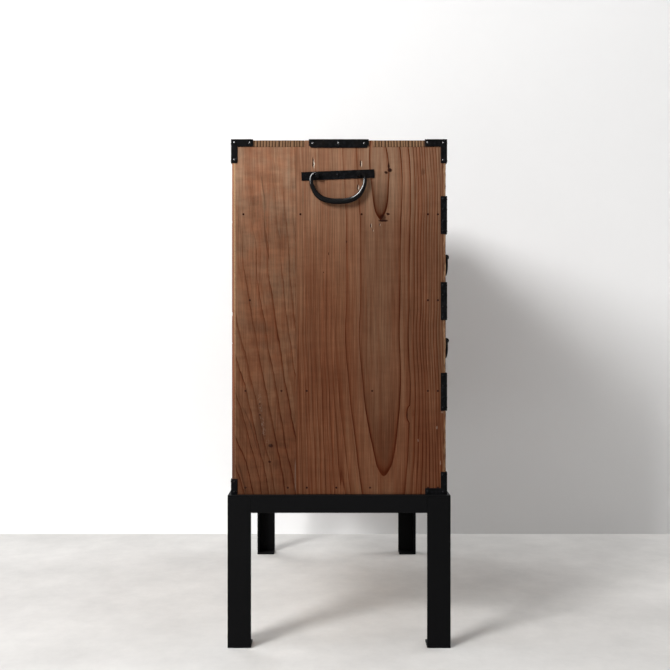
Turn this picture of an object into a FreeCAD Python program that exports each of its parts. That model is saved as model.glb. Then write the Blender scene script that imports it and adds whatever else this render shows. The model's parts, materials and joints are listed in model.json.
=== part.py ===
"""Small clothes chest of cedar boards with black iron fittings, on a stand of steel angle.

Millimetres. +Z is up, the front faces -Y, left is -X as seen from the front.
The origin is on the floor, under the middle of the stand.
"""
import FreeCAD
import Part
import math
import os

V = FreeCAD.Vector

# ---- Stand: equal steel angle, welded ----
STAND_HEIGHT = 260.0
STAND_PAST_SIDE = 8.0       # the stand's edge beyond the case, at each side
STAND_PAST_FRONT = 7.0      # the same at the front and at the back
LEG_FLANGE = 40.0
LEG_STEEL = 4.0
RAIL_FLANGE = 30.0
RAIL_STEEL = 3.0
FOOT_PAD_STEEL = 4.0

# ---- Case ----
CASE_WIDTH = 784.0
CASE_HEIGHT = 606.0
CASE_DEPTH = 361.0          # front edge to the back edge of the sides
BACK_THICK = 5.0
BACK_BOARD_COUNT = 3
SIDE_THICK = 14.0
TOP_THICK = 11.5
SIDE_BACK_BOARD_WIDTH = 104.4
TOP_BACK_BOARD_WIDTH = 172.0
FINGER_WIDTH = 116.6        # the side's finger that comes up through the top
FINGER_FROM_SEAM = 14.9
BOTTOM_THICK = 12.0
BOTTOM_LIFT = 6.0           # underside of the bottom board above the sides' lower ends
FRONT_RAIL_THICK = 15.0
FRONT_RAIL_DEPTH = 40.0
DUST_BOARD_THICK = 12.0
PARTITION_THICK = 15.0

# ---- Rows, from the bottom; the top row takes the height that is left ----
BOTTOM_ROW_HEIGHT = 150.5
LOWER_ROW_HEIGHT = 140.0
UPPER_ROW_HEIGHT = 132.0
DOOR_BAY_WIDTH = 262.0

# ---- Wooden pegs through the sides into each shelf ----
PEG_RADIUS = 1.85
PEG_FIT = 0.05
PEG_LENGTH = 34.0
FRONT_PEG_NEAR = 14.0       # from the front edge
FRONT_PEG_FAR = 31.0
# the other pegs of each row, as shares of the case's depth
BOTTOM_PEGS = (0.36, 0.52, 0.66, 0.75, 0.95)
LOWER_PEGS = (0.35, 0.66, 0.78, 0.95)
MIDDLE_PEGS = (0.93,)
UPPER_PEGS = (0.40, 0.69, 0.96)

# ---- Drawers and door ----
DRAWER_SIDE_GAP = 0.8
DRAWER_TOP_GAP = 1.5
DRAWER_BACK_GAP = 8.0
DRAWER_FRONT_THICK = 16.0
DRAWER_WALL = 9.0
DRAWER_RABBET = 8.0
DRAWER_BOTTOM_THICK = 6.0
DRAWER_WALL_DROP = 6.0      # sides and back stop this far below the top of the bay
DOOR_GAP = 1.0

# ---- Iron plates and nails ----
IRON = 1.7
CORNER_WIDTH = 9.2
CORNER_HEIGHT = 39.0
CORNER_REACH = 36.0
CORNER_FOOT_HEIGHT = 11.3
CORNER_EDGE_MARGIN = 0.7    # wood left bare beside an iron on a board's edge
BACK_FOOT_HEIGHT = 27.0
STRAP_HEIGHT = 65.0
STRAP_TONGUE = 42.0
STRAP_TONGUE_HEIGHT = 12.0
TOP_STRAP_LENGTH = 102.5
TOP_STRAP_SIDE = 13.0
TOP_STRAP_TOP = 16.0
TOP_STRAP_CLIP = 4.0
NAIL_RADIUS = 2.6
NAIL_RISE = 1.3
NAIL_INSET = 5.0
STRAP_NAILS = (-1.0, -0.36, 0.36, 1.0)  # places along a strap, as shares of its nailed half

# ---- Carrying handles on the sides ----
SIDE_HANDLE_DROP = 59.5     # pivot below the top of the case
SIDE_HANDLE_BACK = 2.0      # centre behind the middle of the chest
SIDE_HANDLE_TILT = 2.3
SIDE_STRIP_PAST_POST = 26.85
SIDE_STRIP_HEIGHT = 14.5
SIDE_BAIL_DROP = 45.5
SIDE_BAIL_ROD = 5.2
SIDE_BAIL_PIN = 3.0
SIDE_BAIL_STANDOFF = 9.5
SIDE_POST_HALF_SPACING = 35.5
SIDE_POST_WIDTH = 5.0

# ---- Handles on the drawers ----
DRAWER_BAIL_DROP = 30.0
DRAWER_BAIL_ROD = 3.5
DRAWER_BAIL_PIN = 2.2
DRAWER_BAIL_STANDOFF = 12.2
DRAWER_POST_HALF_SPACING = 31.0
DRAWER_POST_WIDTH = 4.4
POST_PLATE_RADIUS = 10.5
HANDLE_RISE = 9.0           # pivot above the middle of the drawer front
WIDE_HANDLE_FROM_CENTRE = 247.0

# ---- Fits shared by every handle ----
PIN_FIT = 0.08
SHANK_RADIUS = 1.8
SHANK_FIT = 0.05
EYE_WALL = 2.8
PIN_INNER = 8.5             # the pin's end inside the middle of its post
POST_TO_SHOULDER = 0.3
BAIL_SHOULDER = 6.5         # radius of the bend from a pin into the bail's side
BAIL_BREAK = 55.0           # degrees of turn where the bail's two arcs meet

# ---- Locks ----
LOCK_PLATE_WIDTH = 66.0
LOCK_PLATE_HEIGHT = 54.0
LOCK_PLATE_CLIP = 9.0
LOCK_CASE_WIDTH = 44.0
LOCK_CASE_HEIGHT = 28.0
LOCK_CASE_DEPTH = 10.0
LOCK_CASE_BELOW_EDGE = 1.0
BOLT_WIDTH = 14.0
BOLT_THICK = 4.0
BOLT_LENGTH = 20.0
BOLT_FIT = 0.1
BOLT_TRAVEL = 8.0
BOLT_BELOW_EDGE = 1.2       # the drawn bolt's end below the edge of its board
MORTISE_ROOM = 1.0
KEYHOLE_RADIUS = 2.6
KEYHOLE_SLOT = 2.0
KEYHOLE_LENGTH = 9.0

# ---- Door hinges ----
HINGE_BARREL = 3.0
HINGE_PIN = 1.4
HINGE_PIN_FIT = 0.05
HINGE_STANDOFF = 3.3        # pin centre in front of the case
HINGE_HEIGHT = 24.0
HINGE_STRAP = 58.0
HINGE_FRAME_LEAF = 11.5
HINGE_LEAF_STEEL = 1.5
HINGE_FROM_IRON = 4.0       # between a hinge and the corner iron or strap beyond it
HINGE_KNUCKLE_GAP = 0.3
HINGE_RELIEF = 0.5

# ---- Places worked out from the sizes above ----
STAND_WIDTH = CASE_WIDTH + 2 * STAND_PAST_SIDE
STAND_DEPTH = CASE_DEPTH + BACK_THICK + 2 * STAND_PAST_FRONT
LEFT = -CASE_WIDTH / 2
INNER_LEFT = LEFT + SIDE_THICK
INNER_RIGHT = -INNER_LEFT
FRONT = -(CASE_DEPTH + BACK_THICK) / 2
CASE_BACK = FRONT + CASE_DEPTH
BACK = CASE_BACK + BACK_THICK
BASE = STAND_HEIGHT
CASE_TOP = BASE + CASE_HEIGHT
CEILING = CASE_TOP - TOP_THICK
SIDE_SEAM = CASE_BACK - SIDE_BACK_BOARD_WIDTH
TOP_SEAM = CASE_BACK - TOP_BACK_BOARD_WIDTH
FINGER_BACK = SIDE_SEAM - FINGER_FROM_SEAM
FINGER_FRONT = FINGER_BACK - FINGER_WIDTH
FLOOR = BASE + BOTTOM_LIFT + BOTTOM_THICK
BOTTOM_ROW_TOP = FLOOR + BOTTOM_ROW_HEIGHT
LOWER_ROW = BOTTOM_ROW_TOP + FRONT_RAIL_THICK
LOWER_ROW_TOP = LOWER_ROW + LOWER_ROW_HEIGHT
UPPER_ROW = LOWER_ROW_TOP + FRONT_RAIL_THICK
UPPER_ROW_TOP = UPPER_ROW + UPPER_ROW_HEIGHT
TOP_ROW = UPPER_ROW_TOP + FRONT_RAIL_THICK
SHELF_TOPS = (LOWER_ROW, UPPER_ROW, TOP_ROW)
RAIL_BACK = FRONT + FRONT_RAIL_DEPTH
DOOR_BAY_LEFT = INNER_RIGHT - DOOR_BAY_WIDTH
BOTTOM_PARTITION_LEFT = DOOR_BAY_LEFT - PARTITION_THICK
TOP_PARTITION_LEFT = -PARTITION_THICK / 2
SIDE_HANDLE_Z = CASE_TOP - SIDE_HANDLE_DROP
BOARD_BEHIND_FRONT = FRONT + DRAWER_FRONT_THICK
HINGE_X = INNER_RIGHT - DOOR_GAP / 2
HINGE_Y = FRONT - HINGE_STANDOFF
DOOR_BOTTOM = FLOOR + DOOR_GAP
DOOR_TOP = BOTTOM_ROW_TOP - DOOR_GAP
DOOR_LEFT = DOOR_BAY_LEFT + DOOR_GAP
DOOR_RIGHT = INNER_RIGHT - DOOR_GAP
DOOR_MIDDLE = (DOOR_BOTTOM + DOOR_TOP) / 2


# ---- Small tools ----
def block(x0, x1, y0, y1, z0, z1):
    """A box between two opposite corners."""
    return Part.makeBox(x1 - x0, y1 - y0, z1 - z0, V(x0, y0, z0))


def bar(radius, start, end):
    """A round bar from start to end."""
    return Part.makeCylinder(radius, (end - start).Length, start, end - start)


def sheet(corners, thickness):
    """A flat plate: its outline's corners, pushed along the thickness vector."""
    outline = Part.makePolygon(corners + corners[:1])
    return Part.Face(outline).extrude(thickness)


def clipped(half_width, half_height, clip):
    """Corners of a rectangle about the origin in X and Z, with its corners cut off."""
    w = half_width
    h = half_height
    flat = [(-w, clip - h), (clip - w, -h), (w - clip, -h), (w, clip - h)]
    flat += [(w, h - clip), (w - clip, h), (clip - w, h), (-w, h - clip)]
    return [V(x, 0, z) for x, z in flat]


def moved(shape, x, y, z):
    return shape.translated(V(x, y, z))


def to_right(shape):
    """The same piece on the chest's right side."""
    return shape.mirror(V(0, 0, 0), V(1, 0, 0))


def both_sides(shapes):
    return list(shapes) + [to_right(s) for s in shapes]


def solids_of(shape):
    return shape.removeSplitter().Solids


def export(name, *shapes):
    """Write the solids of one named piece, or of one group of like pieces."""
    solids = [solid for shape in shapes for solid in shape.Solids]
    whole = solids[0] if len(solids) == 1 else Part.makeCompound(solids)
    whole.exportStep("parts/" + name + ".step")


def nail(place, outward):
    """A domed nail head standing on a surface."""
    ball = (NAIL_RADIUS ** 2 + NAIL_RISE ** 2) / (2 * NAIL_RISE)
    low = math.degrees(math.asin((ball - NAIL_RISE) / ball))
    centre = place - outward * (ball - NAIL_RISE)
    return Part.makeSphere(ball, centre, outward, low, 90, 360)


# ---- Stand ----
def stand_leg(side, face):
    """One leg of angle: side is -1 left or 1 right, face is -1 front or 1 back."""
    top = STAND_HEIGHT - RAIL_STEEL
    outer = block(0, LEG_FLANGE, 0, LEG_FLANGE, FOOT_PAD_STEEL, top)
    hollow = block(LEG_STEEL, LEG_FLANGE, LEG_STEEL, LEG_FLANGE, FOOT_PAD_STEEL, top)
    leg = moved(outer.cut(hollow), -STAND_WIDTH / 2, -STAND_DEPTH / 2, 0)
    if side > 0:
        leg = to_right(leg)
    if face > 0:
        leg = leg.mirror(V(0, 0, 0), V(0, 1, 0))
    return leg


def foot_pad(side, face):
    """The plate that closes the bottom of one leg."""
    x = side * (STAND_WIDTH - LEG_FLANGE) / 2
    y = face * (STAND_DEPTH - LEG_FLANGE) / 2
    h = LEG_FLANGE / 2
    return block(x - h, x + h, y - h, y + h, 0, FOOT_PAD_STEEL)


def stand_rail(length, depth):
    """One rail of angle along X at the front: a mitred flange on top, a web between the legs."""
    y = -depth / 2
    end = length / 2
    top = STAND_HEIGHT
    corners = [V(-end, y, top), V(end, y, top)]
    corners += [V(end - RAIL_FLANGE, y + RAIL_FLANGE, top), V(RAIL_FLANGE - end, y + RAIL_FLANGE, top)]
    flange = sheet(corners, V(0, 0, -RAIL_STEEL))
    web_end = end - LEG_FLANGE
    web = block(-web_end, web_end, y, y + RAIL_STEEL, top - RAIL_FLANGE, top - RAIL_STEEL)
    return flange.fuse(web).removeSplitter()


def build_stand():
    for side, side_name in ((-1, "left"), (1, "right")):
        for face, face_name in ((-1, "front"), (1, "back")):
            export("stand_leg_" + face_name + "_" + side_name, stand_leg(side, face))
    export("stand_foot_pads", *[foot_pad(s, f) for s in (-1, 1) for f in (-1, 1)])
    front = stand_rail(STAND_WIDTH, STAND_DEPTH)
    export("stand_rails_long", front, front.mirror(V(0, 0, 0), V(0, 1, 0)))
    right = stand_rail(STAND_DEPTH, STAND_WIDTH).rotate(V(0, 0, 0), V(0, 0, 1), 90)
    export("stand_rails_short", right, right.mirror(V(0, 0, 0), V(1, 0, 0)))


# ---- Case ----
def peg_rows():
    """Height and distances from the front edge of each row of pegs."""
    shelf_middle = [top - DUST_BOARD_THICK / 2 for top in SHELF_TOPS]
    heights = [FLOOR - BOTTOM_THICK / 2] + shelf_middle
    for z, shares in zip(heights, (BOTTOM_PEGS, LOWER_PEGS, MIDDLE_PEGS, UPPER_PEGS)):
        yield z, [FRONT_PEG_NEAR, FRONT_PEG_FAR] + [CASE_DEPTH * share for share in shares]


def pegs(radius):
    """Every peg on the left side, at the given radius."""
    inner = LEFT + PEG_LENGTH
    return [
        bar(radius, V(LEFT, FRONT + y, z), V(inner, FRONT + y, z))
        for z, places in peg_rows()
        for y in places
    ]


def holes_for_pegs():
    return Part.makeCompound(both_sides(pegs(PEG_RADIUS + PEG_FIT)))


def side_board(y0, y1):
    """One board of the left side, with its share of the finger that comes up through the top."""
    board = block(LEFT, INNER_LEFT, y0, y1, BASE, CEILING)
    low = max(y0, FINGER_FRONT)
    high = min(y1, FINGER_BACK)
    if high > low:
        board = board.fuse(block(LEFT, INNER_LEFT, low, high, CEILING, CASE_TOP)).removeSplitter()
    return board


def top_board(y0, y1):
    """One board of the top, notched at both ends for the sides' fingers."""
    board = block(LEFT, -LEFT, y0, y1, CEILING, CASE_TOP)
    notch = block(LEFT, INNER_LEFT, FINGER_FRONT, FINGER_BACK, CEILING, CASE_TOP)
    return board.cut(Part.makeCompound(both_sides([notch])))


def dust_board(top):
    return block(INNER_LEFT, INNER_RIGHT, RAIL_BACK, CASE_BACK, top - DUST_BOARD_THICK, top)


def front_rail(bottom, top):
    return block(INNER_LEFT, INNER_RIGHT, FRONT, RAIL_BACK, bottom, top)


def partition(x, bottom, top):
    return block(x, x + PARTITION_THICK, FRONT, CASE_BACK, bottom, top)


def build_case():
    peg_holes = holes_for_pegs()
    shanks = Part.makeCompound(side_handle_shank_holes())
    for name, y0, y1 in (("front", FRONT, SIDE_SEAM), ("back", SIDE_SEAM, CASE_BACK)):
        left = side_board(y0, y1)
        for side_name, board in (("left", left), ("right", to_right(left))):
            export("side_" + side_name + "_" + name + "_board", board.cut(peg_holes).cut(shanks))
    export("top_front_board", top_board(FRONT, TOP_SEAM))
    export("top_back_board", top_board(TOP_SEAM, CASE_BACK))
    bottom = block(INNER_LEFT, INNER_RIGHT, RAIL_BACK, CASE_BACK, FLOOR - BOTTOM_THICK, FLOOR)
    export("bottom_board", bottom.cut(peg_holes))
    rails = [front_rail(BASE, FLOOR)]
    rails += [front_rail(top - FRONT_RAIL_THICK, top) for top in SHELF_TOPS]
    mortises = Part.makeCompound([drawer_mortise(UPPER_ROW_TOP), drawer_mortise(LOWER_ROW_TOP)])
    export("front_rails", *[rail.cut(peg_holes).cut(mortises) for rail in rails])
    export("dust_boards", *[dust_board(top).cut(peg_holes) for top in SHELF_TOPS])
    top_partition = partition(TOP_PARTITION_LEFT, TOP_ROW, CEILING)
    bottom_partition = partition(BOTTOM_PARTITION_LEFT, FLOOR, BOTTOM_ROW_TOP)
    export("partitions", top_partition, bottom_partition.cut(door_mortise()))
    export("back_boards", *back_boards())
    export("wood_pegs", *both_sides(pegs(PEG_RADIUS)))


def back_boards():
    """Thin boards lying across the back, one above the other."""
    height = CASE_HEIGHT / BACK_BOARD_COUNT
    lows = [BASE + height * i for i in range(BACK_BOARD_COUNT)]
    return [block(LEFT, -LEFT, CASE_BACK, BACK, low, low + height) for low in lows]


# ---- Iron fittings of the case ----
def iron_skin(over_top):
    """The layer that plates wrapped round the case's left half lie in."""
    top = CASE_TOP + (IRON if over_top else 0)
    outer = block(LEFT - IRON, 0, FRONT - IRON, BACK + IRON, BASE, top)
    return outer.cut(block(LEFT, 0, FRONT, BACK, BASE, CASE_TOP))


def is_back_foot(face, top):
    return face > 0 and top < 0


def corner_bars(face, top, height, foot):
    """The bars along the edges that meet at a corner of the left side.

    face is -1 at the front and 1 at the back; top is 1 at the top and -1 at the bottom;
    height is the upright leg's and foot is the lying legs' width. A back foot has no leg
    along the side.
    """
    y = FRONT if face < 0 else BACK
    z = CASE_TOP if top > 0 else BASE
    edge = SIDE_THICK - CORNER_EDGE_MARGIN
    sizes = (
        (edge, CORNER_WIDTH, height),
        (CORNER_WIDTH, CORNER_REACH, foot),
        (CORNER_REACH, CORNER_WIDTH, foot),
    )
    if is_back_foot(face, top):
        sizes = (sizes[0], sizes[2])
    bars = []
    for x_size, y_size, z_size in sizes:
        y0, y1 = sorted((y + face * IRON, y - face * y_size))
        z0, z1 = sorted((z + top * IRON, z - top * z_size))
        bars.append(block(LEFT - IRON, LEFT + x_size, y0, y1, z0, z1))
    return bars


def corner_iron(face, top, height, foot):
    """A plate bent round a corner of the case, with a leg along each edge."""
    bars = corner_bars(face, top, height, foot)
    solid = bars[0].multiFuse(bars[1:])
    return solid.common(iron_skin(top > 0)).removeSplitter()


def corner_irons():
    lying = TOP_THICK - CORNER_EDGE_MARGIN
    return [
        corner_iron(-1, 1, CORNER_HEIGHT, lying),
        corner_iron(1, 1, CORNER_HEIGHT, lying),
        corner_iron(-1, -1, CORNER_HEIGHT, CORNER_FOOT_HEIGHT),
        corner_iron(1, -1, BACK_FOOT_HEIGHT, CORNER_FOOT_HEIGHT),
    ]


def edge_strap(z):
    """A strap round the side's front edge, with a tongue on to the front rail."""
    half = STRAP_HEIGHT / 2
    edge = LEFT + SIDE_THICK - CORNER_EDGE_MARGIN
    wrap = block(LEFT - IRON, edge, FRONT - IRON, FRONT + CORNER_WIDTH, z - half, z + half)
    t = STRAP_TONGUE_HEIGHT / 2
    tongue = block(LEFT - IRON, LEFT + STRAP_TONGUE, FRONT - IRON, FRONT, z - t, z + t)
    return wrap.fuse(tongue).common(iron_skin(False)).removeSplitter()


def strap_heights():
    return [top - FRONT_RAIL_THICK / 2 for top in SHELF_TOPS]


def top_strap():
    """A strap over the middle of the top's left edge, with clipped corners."""
    y = (FINGER_FRONT + FINGER_BACK) / 2
    half = TOP_STRAP_LENGTH / 2
    clip = TOP_STRAP_CLIP
    z = CASE_TOP + IRON
    low = CASE_TOP - TOP_STRAP_SIDE
    side = [V(0, -half, z), V(0, -half, low + clip), V(0, clip - half, low)]
    side += [V(0, half - clip, low), V(0, half, low + clip), V(0, half, z)]
    side_leaf = moved(sheet(side, V(IRON, 0, 0)), LEFT - IRON, y, 0)
    inner = TOP_STRAP_TOP
    top = [V(0, -half, 0), V(0, half, 0), V(inner - clip, half, 0), V(inner, half - clip, 0)]
    top += [V(inner, clip - half, 0), V(inner - clip, -half, 0)]
    top_leaf = moved(sheet(top, V(0, 0, IRON)), LEFT, y, CASE_TOP)
    return side_leaf.fuse(top_leaf).removeSplitter()


def case_nails():
    """Domed nails on the irons of the left side."""
    out = V(-1, 0, 0)
    face = LEFT - IRON
    half = CORNER_WIDTH / 2
    edge = (SIDE_THICK - CORNER_EDGE_MARGIN) / 2
    heads = []
    for y0, towards, outward in ((FRONT, 1, V(0, -1, 0)), (BACK, -1, V(0, 1, 0))):
        y_face = y0 - towards * IRON
        foot = CORNER_HEIGHT if towards > 0 else BACK_FOOT_HEIGHT
        for z in (CASE_TOP - half, CASE_TOP - CORNER_HEIGHT + NAIL_INSET):
            heads.append(nail(V(face, y0 + towards * half, z), out))
            heads.append(nail(V(LEFT + edge, y_face, z), outward))
        for z in (BASE + half, BASE + foot - NAIL_INSET):
            heads.append(nail(V(face, y0 + towards * half, z), out))
            heads.append(nail(V(LEFT + edge, y_face, z), outward))
        reach = CORNER_REACH - NAIL_INSET
        for top, z in ((1, CASE_TOP - half), (-1, BASE + CORNER_FOOT_HEIGHT / 2)):
            if not is_back_foot(-towards, top):
                heads.append(nail(V(face, y0 + towards * reach, z), out))
            heads.append(nail(V(LEFT + reach, y_face, z), outward))
        lid = CASE_TOP + IRON
        y_lid = y0 + towards * half
        heads += [nail(V(x, y_lid, lid), V(0, 0, 1)) for x in (LEFT + half, LEFT + reach)]
        heads.append(nail(V(LEFT + half, y0 + towards * reach, lid), V(0, 0, 1)))
    for z in strap_heights():
        for share in STRAP_NAILS:
            height = z + share * (STRAP_HEIGHT / 2 - NAIL_INSET)
            heads.append(nail(V(face, FRONT + half, height), out))
            heads.append(nail(V(LEFT + edge, FRONT - IRON, height), V(0, -1, 0)))
        heads.append(nail(V(LEFT + STRAP_TONGUE - NAIL_INSET, FRONT - IRON, z), V(0, -1, 0)))
    y = (FINGER_FRONT + FINGER_BACK) / 2
    spread = TOP_STRAP_LENGTH / 2 - 1.5 * NAIL_INSET
    for place in (y - spread, y, y + spread):
        heads.append(nail(V(face, place, CASE_TOP - TOP_STRAP_SIDE / 2 + IRON / 2), out))
        heads.append(nail(V(LEFT + TOP_STRAP_TOP / 2, place, CASE_TOP + IRON), V(0, 0, 1)))
    return heads


# ---- Handles: a bail of tapered rod in two eyed posts ----
# Each is made with the wood's surface at y = 0, its pivot at z = 0 and the bail towards -Y.
def bail_curve(half_width, drop):
    """The three arcs that the bail's rod follows below its shoulders."""
    turn = math.radians(BAIL_BREAK)
    c = math.cos(turn)
    s = math.sin(turn)
    height = drop - BAIL_SHOULDER
    det = (1 - c) * (1 - s) - c * s
    side_radius = (half_width * (1 - s) - height * c) / det
    low_radius = ((1 - c) * height - half_width * s) / det

    def on_side(t):
        inwards = side_radius * (1 - math.cos(t))
        return V(half_width - inwards, 0, -BAIL_SHOULDER - side_radius * math.sin(t))

    def at_bottom(t):
        return V(low_radius * math.cos(t), 0, low_radius * (1 - math.sin(t)) - drop)

    start, middle, join = on_side(0), on_side(turn / 2), on_side(turn)
    across = [V(-p.x, 0, p.z) for p in (join, middle, start)]
    return [
        Part.Arc(start, middle, join),
        Part.Arc(join, at_bottom(math.pi / 2), across[0]),
        Part.Arc(across[0], across[1], across[2]),
    ]


def bail(post_half, post_width, standoff, drop, rod, pin):
    """The swinging handle: a swept rod, two round shoulders and two pins pointing inwards."""
    shoulder_x = post_half + post_width / 2 + POST_TO_SHOULDER
    half_width = shoulder_x + BAIL_SHOULDER
    path = Part.Wire([arc.toShape() for arc in bail_curve(half_width, drop)])
    sweep = Part.BRepOffsetAPI.MakePipeShell(path)
    sweep.setFrenetMode(True)
    ends = (V(half_width, 0, -BAIL_SHOULDER), V(-half_width, 0, -BAIL_SHOULDER))
    sections = ((pin, ends[0], V(0, 0, -1)), (rod, V(0, 0, -drop), V(-1, 0, 0)))
    sections += ((pin, ends[1], V(0, 0, 1)),)
    for radius, place, heading in sections:
        sweep.add(Part.Wire([Part.makeCircle(radius, place, heading)]), False, False)
    sweep.build()
    sweep.makeSolid()
    centre = V(shoulder_x, 0, -BAIL_SHOULDER)
    right_bend = Part.makeTorus(BAIL_SHOULDER, pin, centre, V(0, -1, 0), -180, 180, 90)
    right_bend = right_bend.rotate(centre, V(0, 1, 0), -90)
    right_pin = bar(pin, V(post_half - PIN_INNER, 0, 0), V(shoulder_x, 0, 0))
    right = right_bend.fuse(right_pin)
    whole = sweep.shape().multiFuse([right, to_right(right)]).removeSplitter()
    return moved(whole, 0, -standoff, 0)


def post(x, pin, width, standoff, depth):
    """An eyed post: a flat eye round the pin, and a shank through a plate and a board."""
    eye_radius = pin + EYE_WALL
    eye = bar(eye_radius, V(x - width / 2, -standoff, 0), V(x + width / 2, -standoff, 0))
    shank = bar(SHANK_RADIUS, V(x, depth, 0), V(x, -standoff, 0))
    hole = bar(pin + PIN_FIT, V(x - width, -standoff, 0), V(x + width, -standoff, 0))
    return eye.fuse(shank).cut(hole).removeSplitter()


def shank_hole(x, depth):
    return bar(SHANK_RADIUS + SHANK_FIT, V(x, -IRON * 2, 0), V(x, depth, 0))


def side_place(shape):
    """From the handle's own frame to the left side of the case, with its slight tilt."""
    tilted = shape.rotated(V(0, 0, 0), V(0, 1, 0), -SIDE_HANDLE_TILT)
    turned = tilted.rotated(V(0, 0, 0), V(0, 0, 1), -90)
    return moved(turned, LEFT, SIDE_HANDLE_BACK, SIDE_HANDLE_Z)


def side_handle_shank_holes():
    spots = (-SIDE_POST_HALF_SPACING, SIDE_POST_HALF_SPACING)
    return both_sides([side_place(shank_hole(x, SIDE_THICK)) for x in spots])


def side_strip():
    half = SIDE_POST_HALF_SPACING + SIDE_STRIP_PAST_POST
    tall = SIDE_STRIP_HEIGHT / 2
    strip = block(-half, half, -IRON, 0, -tall, tall)
    for x in (-SIDE_POST_HALF_SPACING, SIDE_POST_HALF_SPACING):
        strip = strip.cut(shank_hole(x, SIDE_THICK))
    return strip


def build_side_handles():
    spots = (-SIDE_POST_HALF_SPACING, SIDE_POST_HALF_SPACING)
    mounts = [side_strip()]
    for x in spots:
        mounts.append(post(x, SIDE_BAIL_PIN, SIDE_POST_WIDTH, SIDE_BAIL_STANDOFF, SIDE_THICK))
    export("side_handle_mounts", *both_sides([side_place(s) for s in mounts]))
    left = side_place(bail(
        SIDE_POST_HALF_SPACING, SIDE_POST_WIDTH, SIDE_BAIL_STANDOFF,
        SIDE_BAIL_DROP, SIDE_BAIL_ROD, SIDE_BAIL_PIN,
    ))
    export("side_bail_left", left)
    export("side_bail_right", to_right(left))


def build_case_irons():
    export("corner_irons", *both_sides(corner_irons()))
    export("edge_straps", *both_sides([edge_strap(z) for z in strap_heights()]))
    export("top_straps", *both_sides([top_strap()]))
    middle_nail = side_place(nail(V(0, -IRON, 0), V(0, -1, 0)))
    export("case_nails", *both_sides(case_nails() + [middle_nail]))


# ---- Locks ----
def keyhole(depth):
    """A round hole over a slot, from in front of the plate to the back of the board."""
    hole = bar(KEYHOLE_RADIUS, V(0, -2 * IRON, 0), V(0, depth, 0))
    half = KEYHOLE_SLOT / 2
    return hole.fuse(block(-half, half, -2 * IRON, depth, -KEYHOLE_LENGTH, 0))


def lock_plate():
    corners = clipped(LOCK_PLATE_WIDTH / 2, LOCK_PLATE_HEIGHT / 2, LOCK_PLATE_CLIP)
    return sheet(corners, V(0, -IRON, 0)).cut(keyhole(0))


def lock_body():
    """The lock's case and bolt behind a board whose edge is at z = 0, at x = 0, y from 0."""
    top = -LOCK_CASE_BELOW_EDGE
    half = LOCK_CASE_WIDTH / 2
    case = block(-half, half, 0, LOCK_CASE_DEPTH, top - LOCK_CASE_HEIGHT, top)
    bolt_top = -BOLT_BELOW_EDGE
    channel = bolt_slot(BOLT_FIT, bolt_top - BOLT_LENGTH, 0)
    return case.cut(channel), bolt_slot(0, bolt_top - BOLT_LENGTH, bolt_top)


def bolt_slot(room, z0, z1):
    """The bolt's own section, or that with room round it, between two heights."""
    x = BOLT_WIDTH / 2 + room
    y = BOLT_THICK / 2 + room
    middle = LOCK_CASE_DEPTH / 2
    return block(-x, x, middle - y, middle + y, z0, z1)


def drawer_mortise(row_top):
    """The pocket in a front rail for the lock bolt of the drawer under it."""
    depth = BOLT_TRAVEL - BOLT_BELOW_EDGE + MORTISE_ROOM - DRAWER_TOP_GAP
    return moved(bolt_slot(MORTISE_ROOM / 2, 0, depth), 0, BOARD_BEHIND_FRONT, row_top)


def door_lock_place(shape):
    """From the lock's own frame to the door's left edge, with the bolt pointing to the left."""
    return moved(shape.rotated(V(0, 0, 0), V(0, 1, 0), -90), DOOR_LEFT, BOARD_BEHIND_FRONT, DOOR_MIDDLE)


def door_mortise():
    depth = BOLT_TRAVEL - BOLT_BELOW_EDGE + MORTISE_ROOM - DOOR_GAP
    return door_lock_place(bolt_slot(MORTISE_ROOM / 2, 0, depth + DOOR_GAP))


# ---- Drawers ----
def drawer_box(x0, x1, floor, top):
    """The two sides and the back of a drawer, standing on its bottom board."""
    z0 = floor + DRAWER_BOTTOM_THICK
    z1 = top - DRAWER_WALL_DROP
    y0 = BOARD_BEHIND_FRONT - DRAWER_RABBET
    y1 = CASE_BACK - DRAWER_BACK_GAP
    left = block(x0, x0 + DRAWER_WALL, y0, y1, z0, z1)
    right = block(x1 - DRAWER_WALL, x1, y0, y1, z0, z1)
    back = block(x0 + DRAWER_WALL, x1 - DRAWER_WALL, y1 - DRAWER_WALL, y1, z0, z1)
    return [left, right, back]


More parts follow.
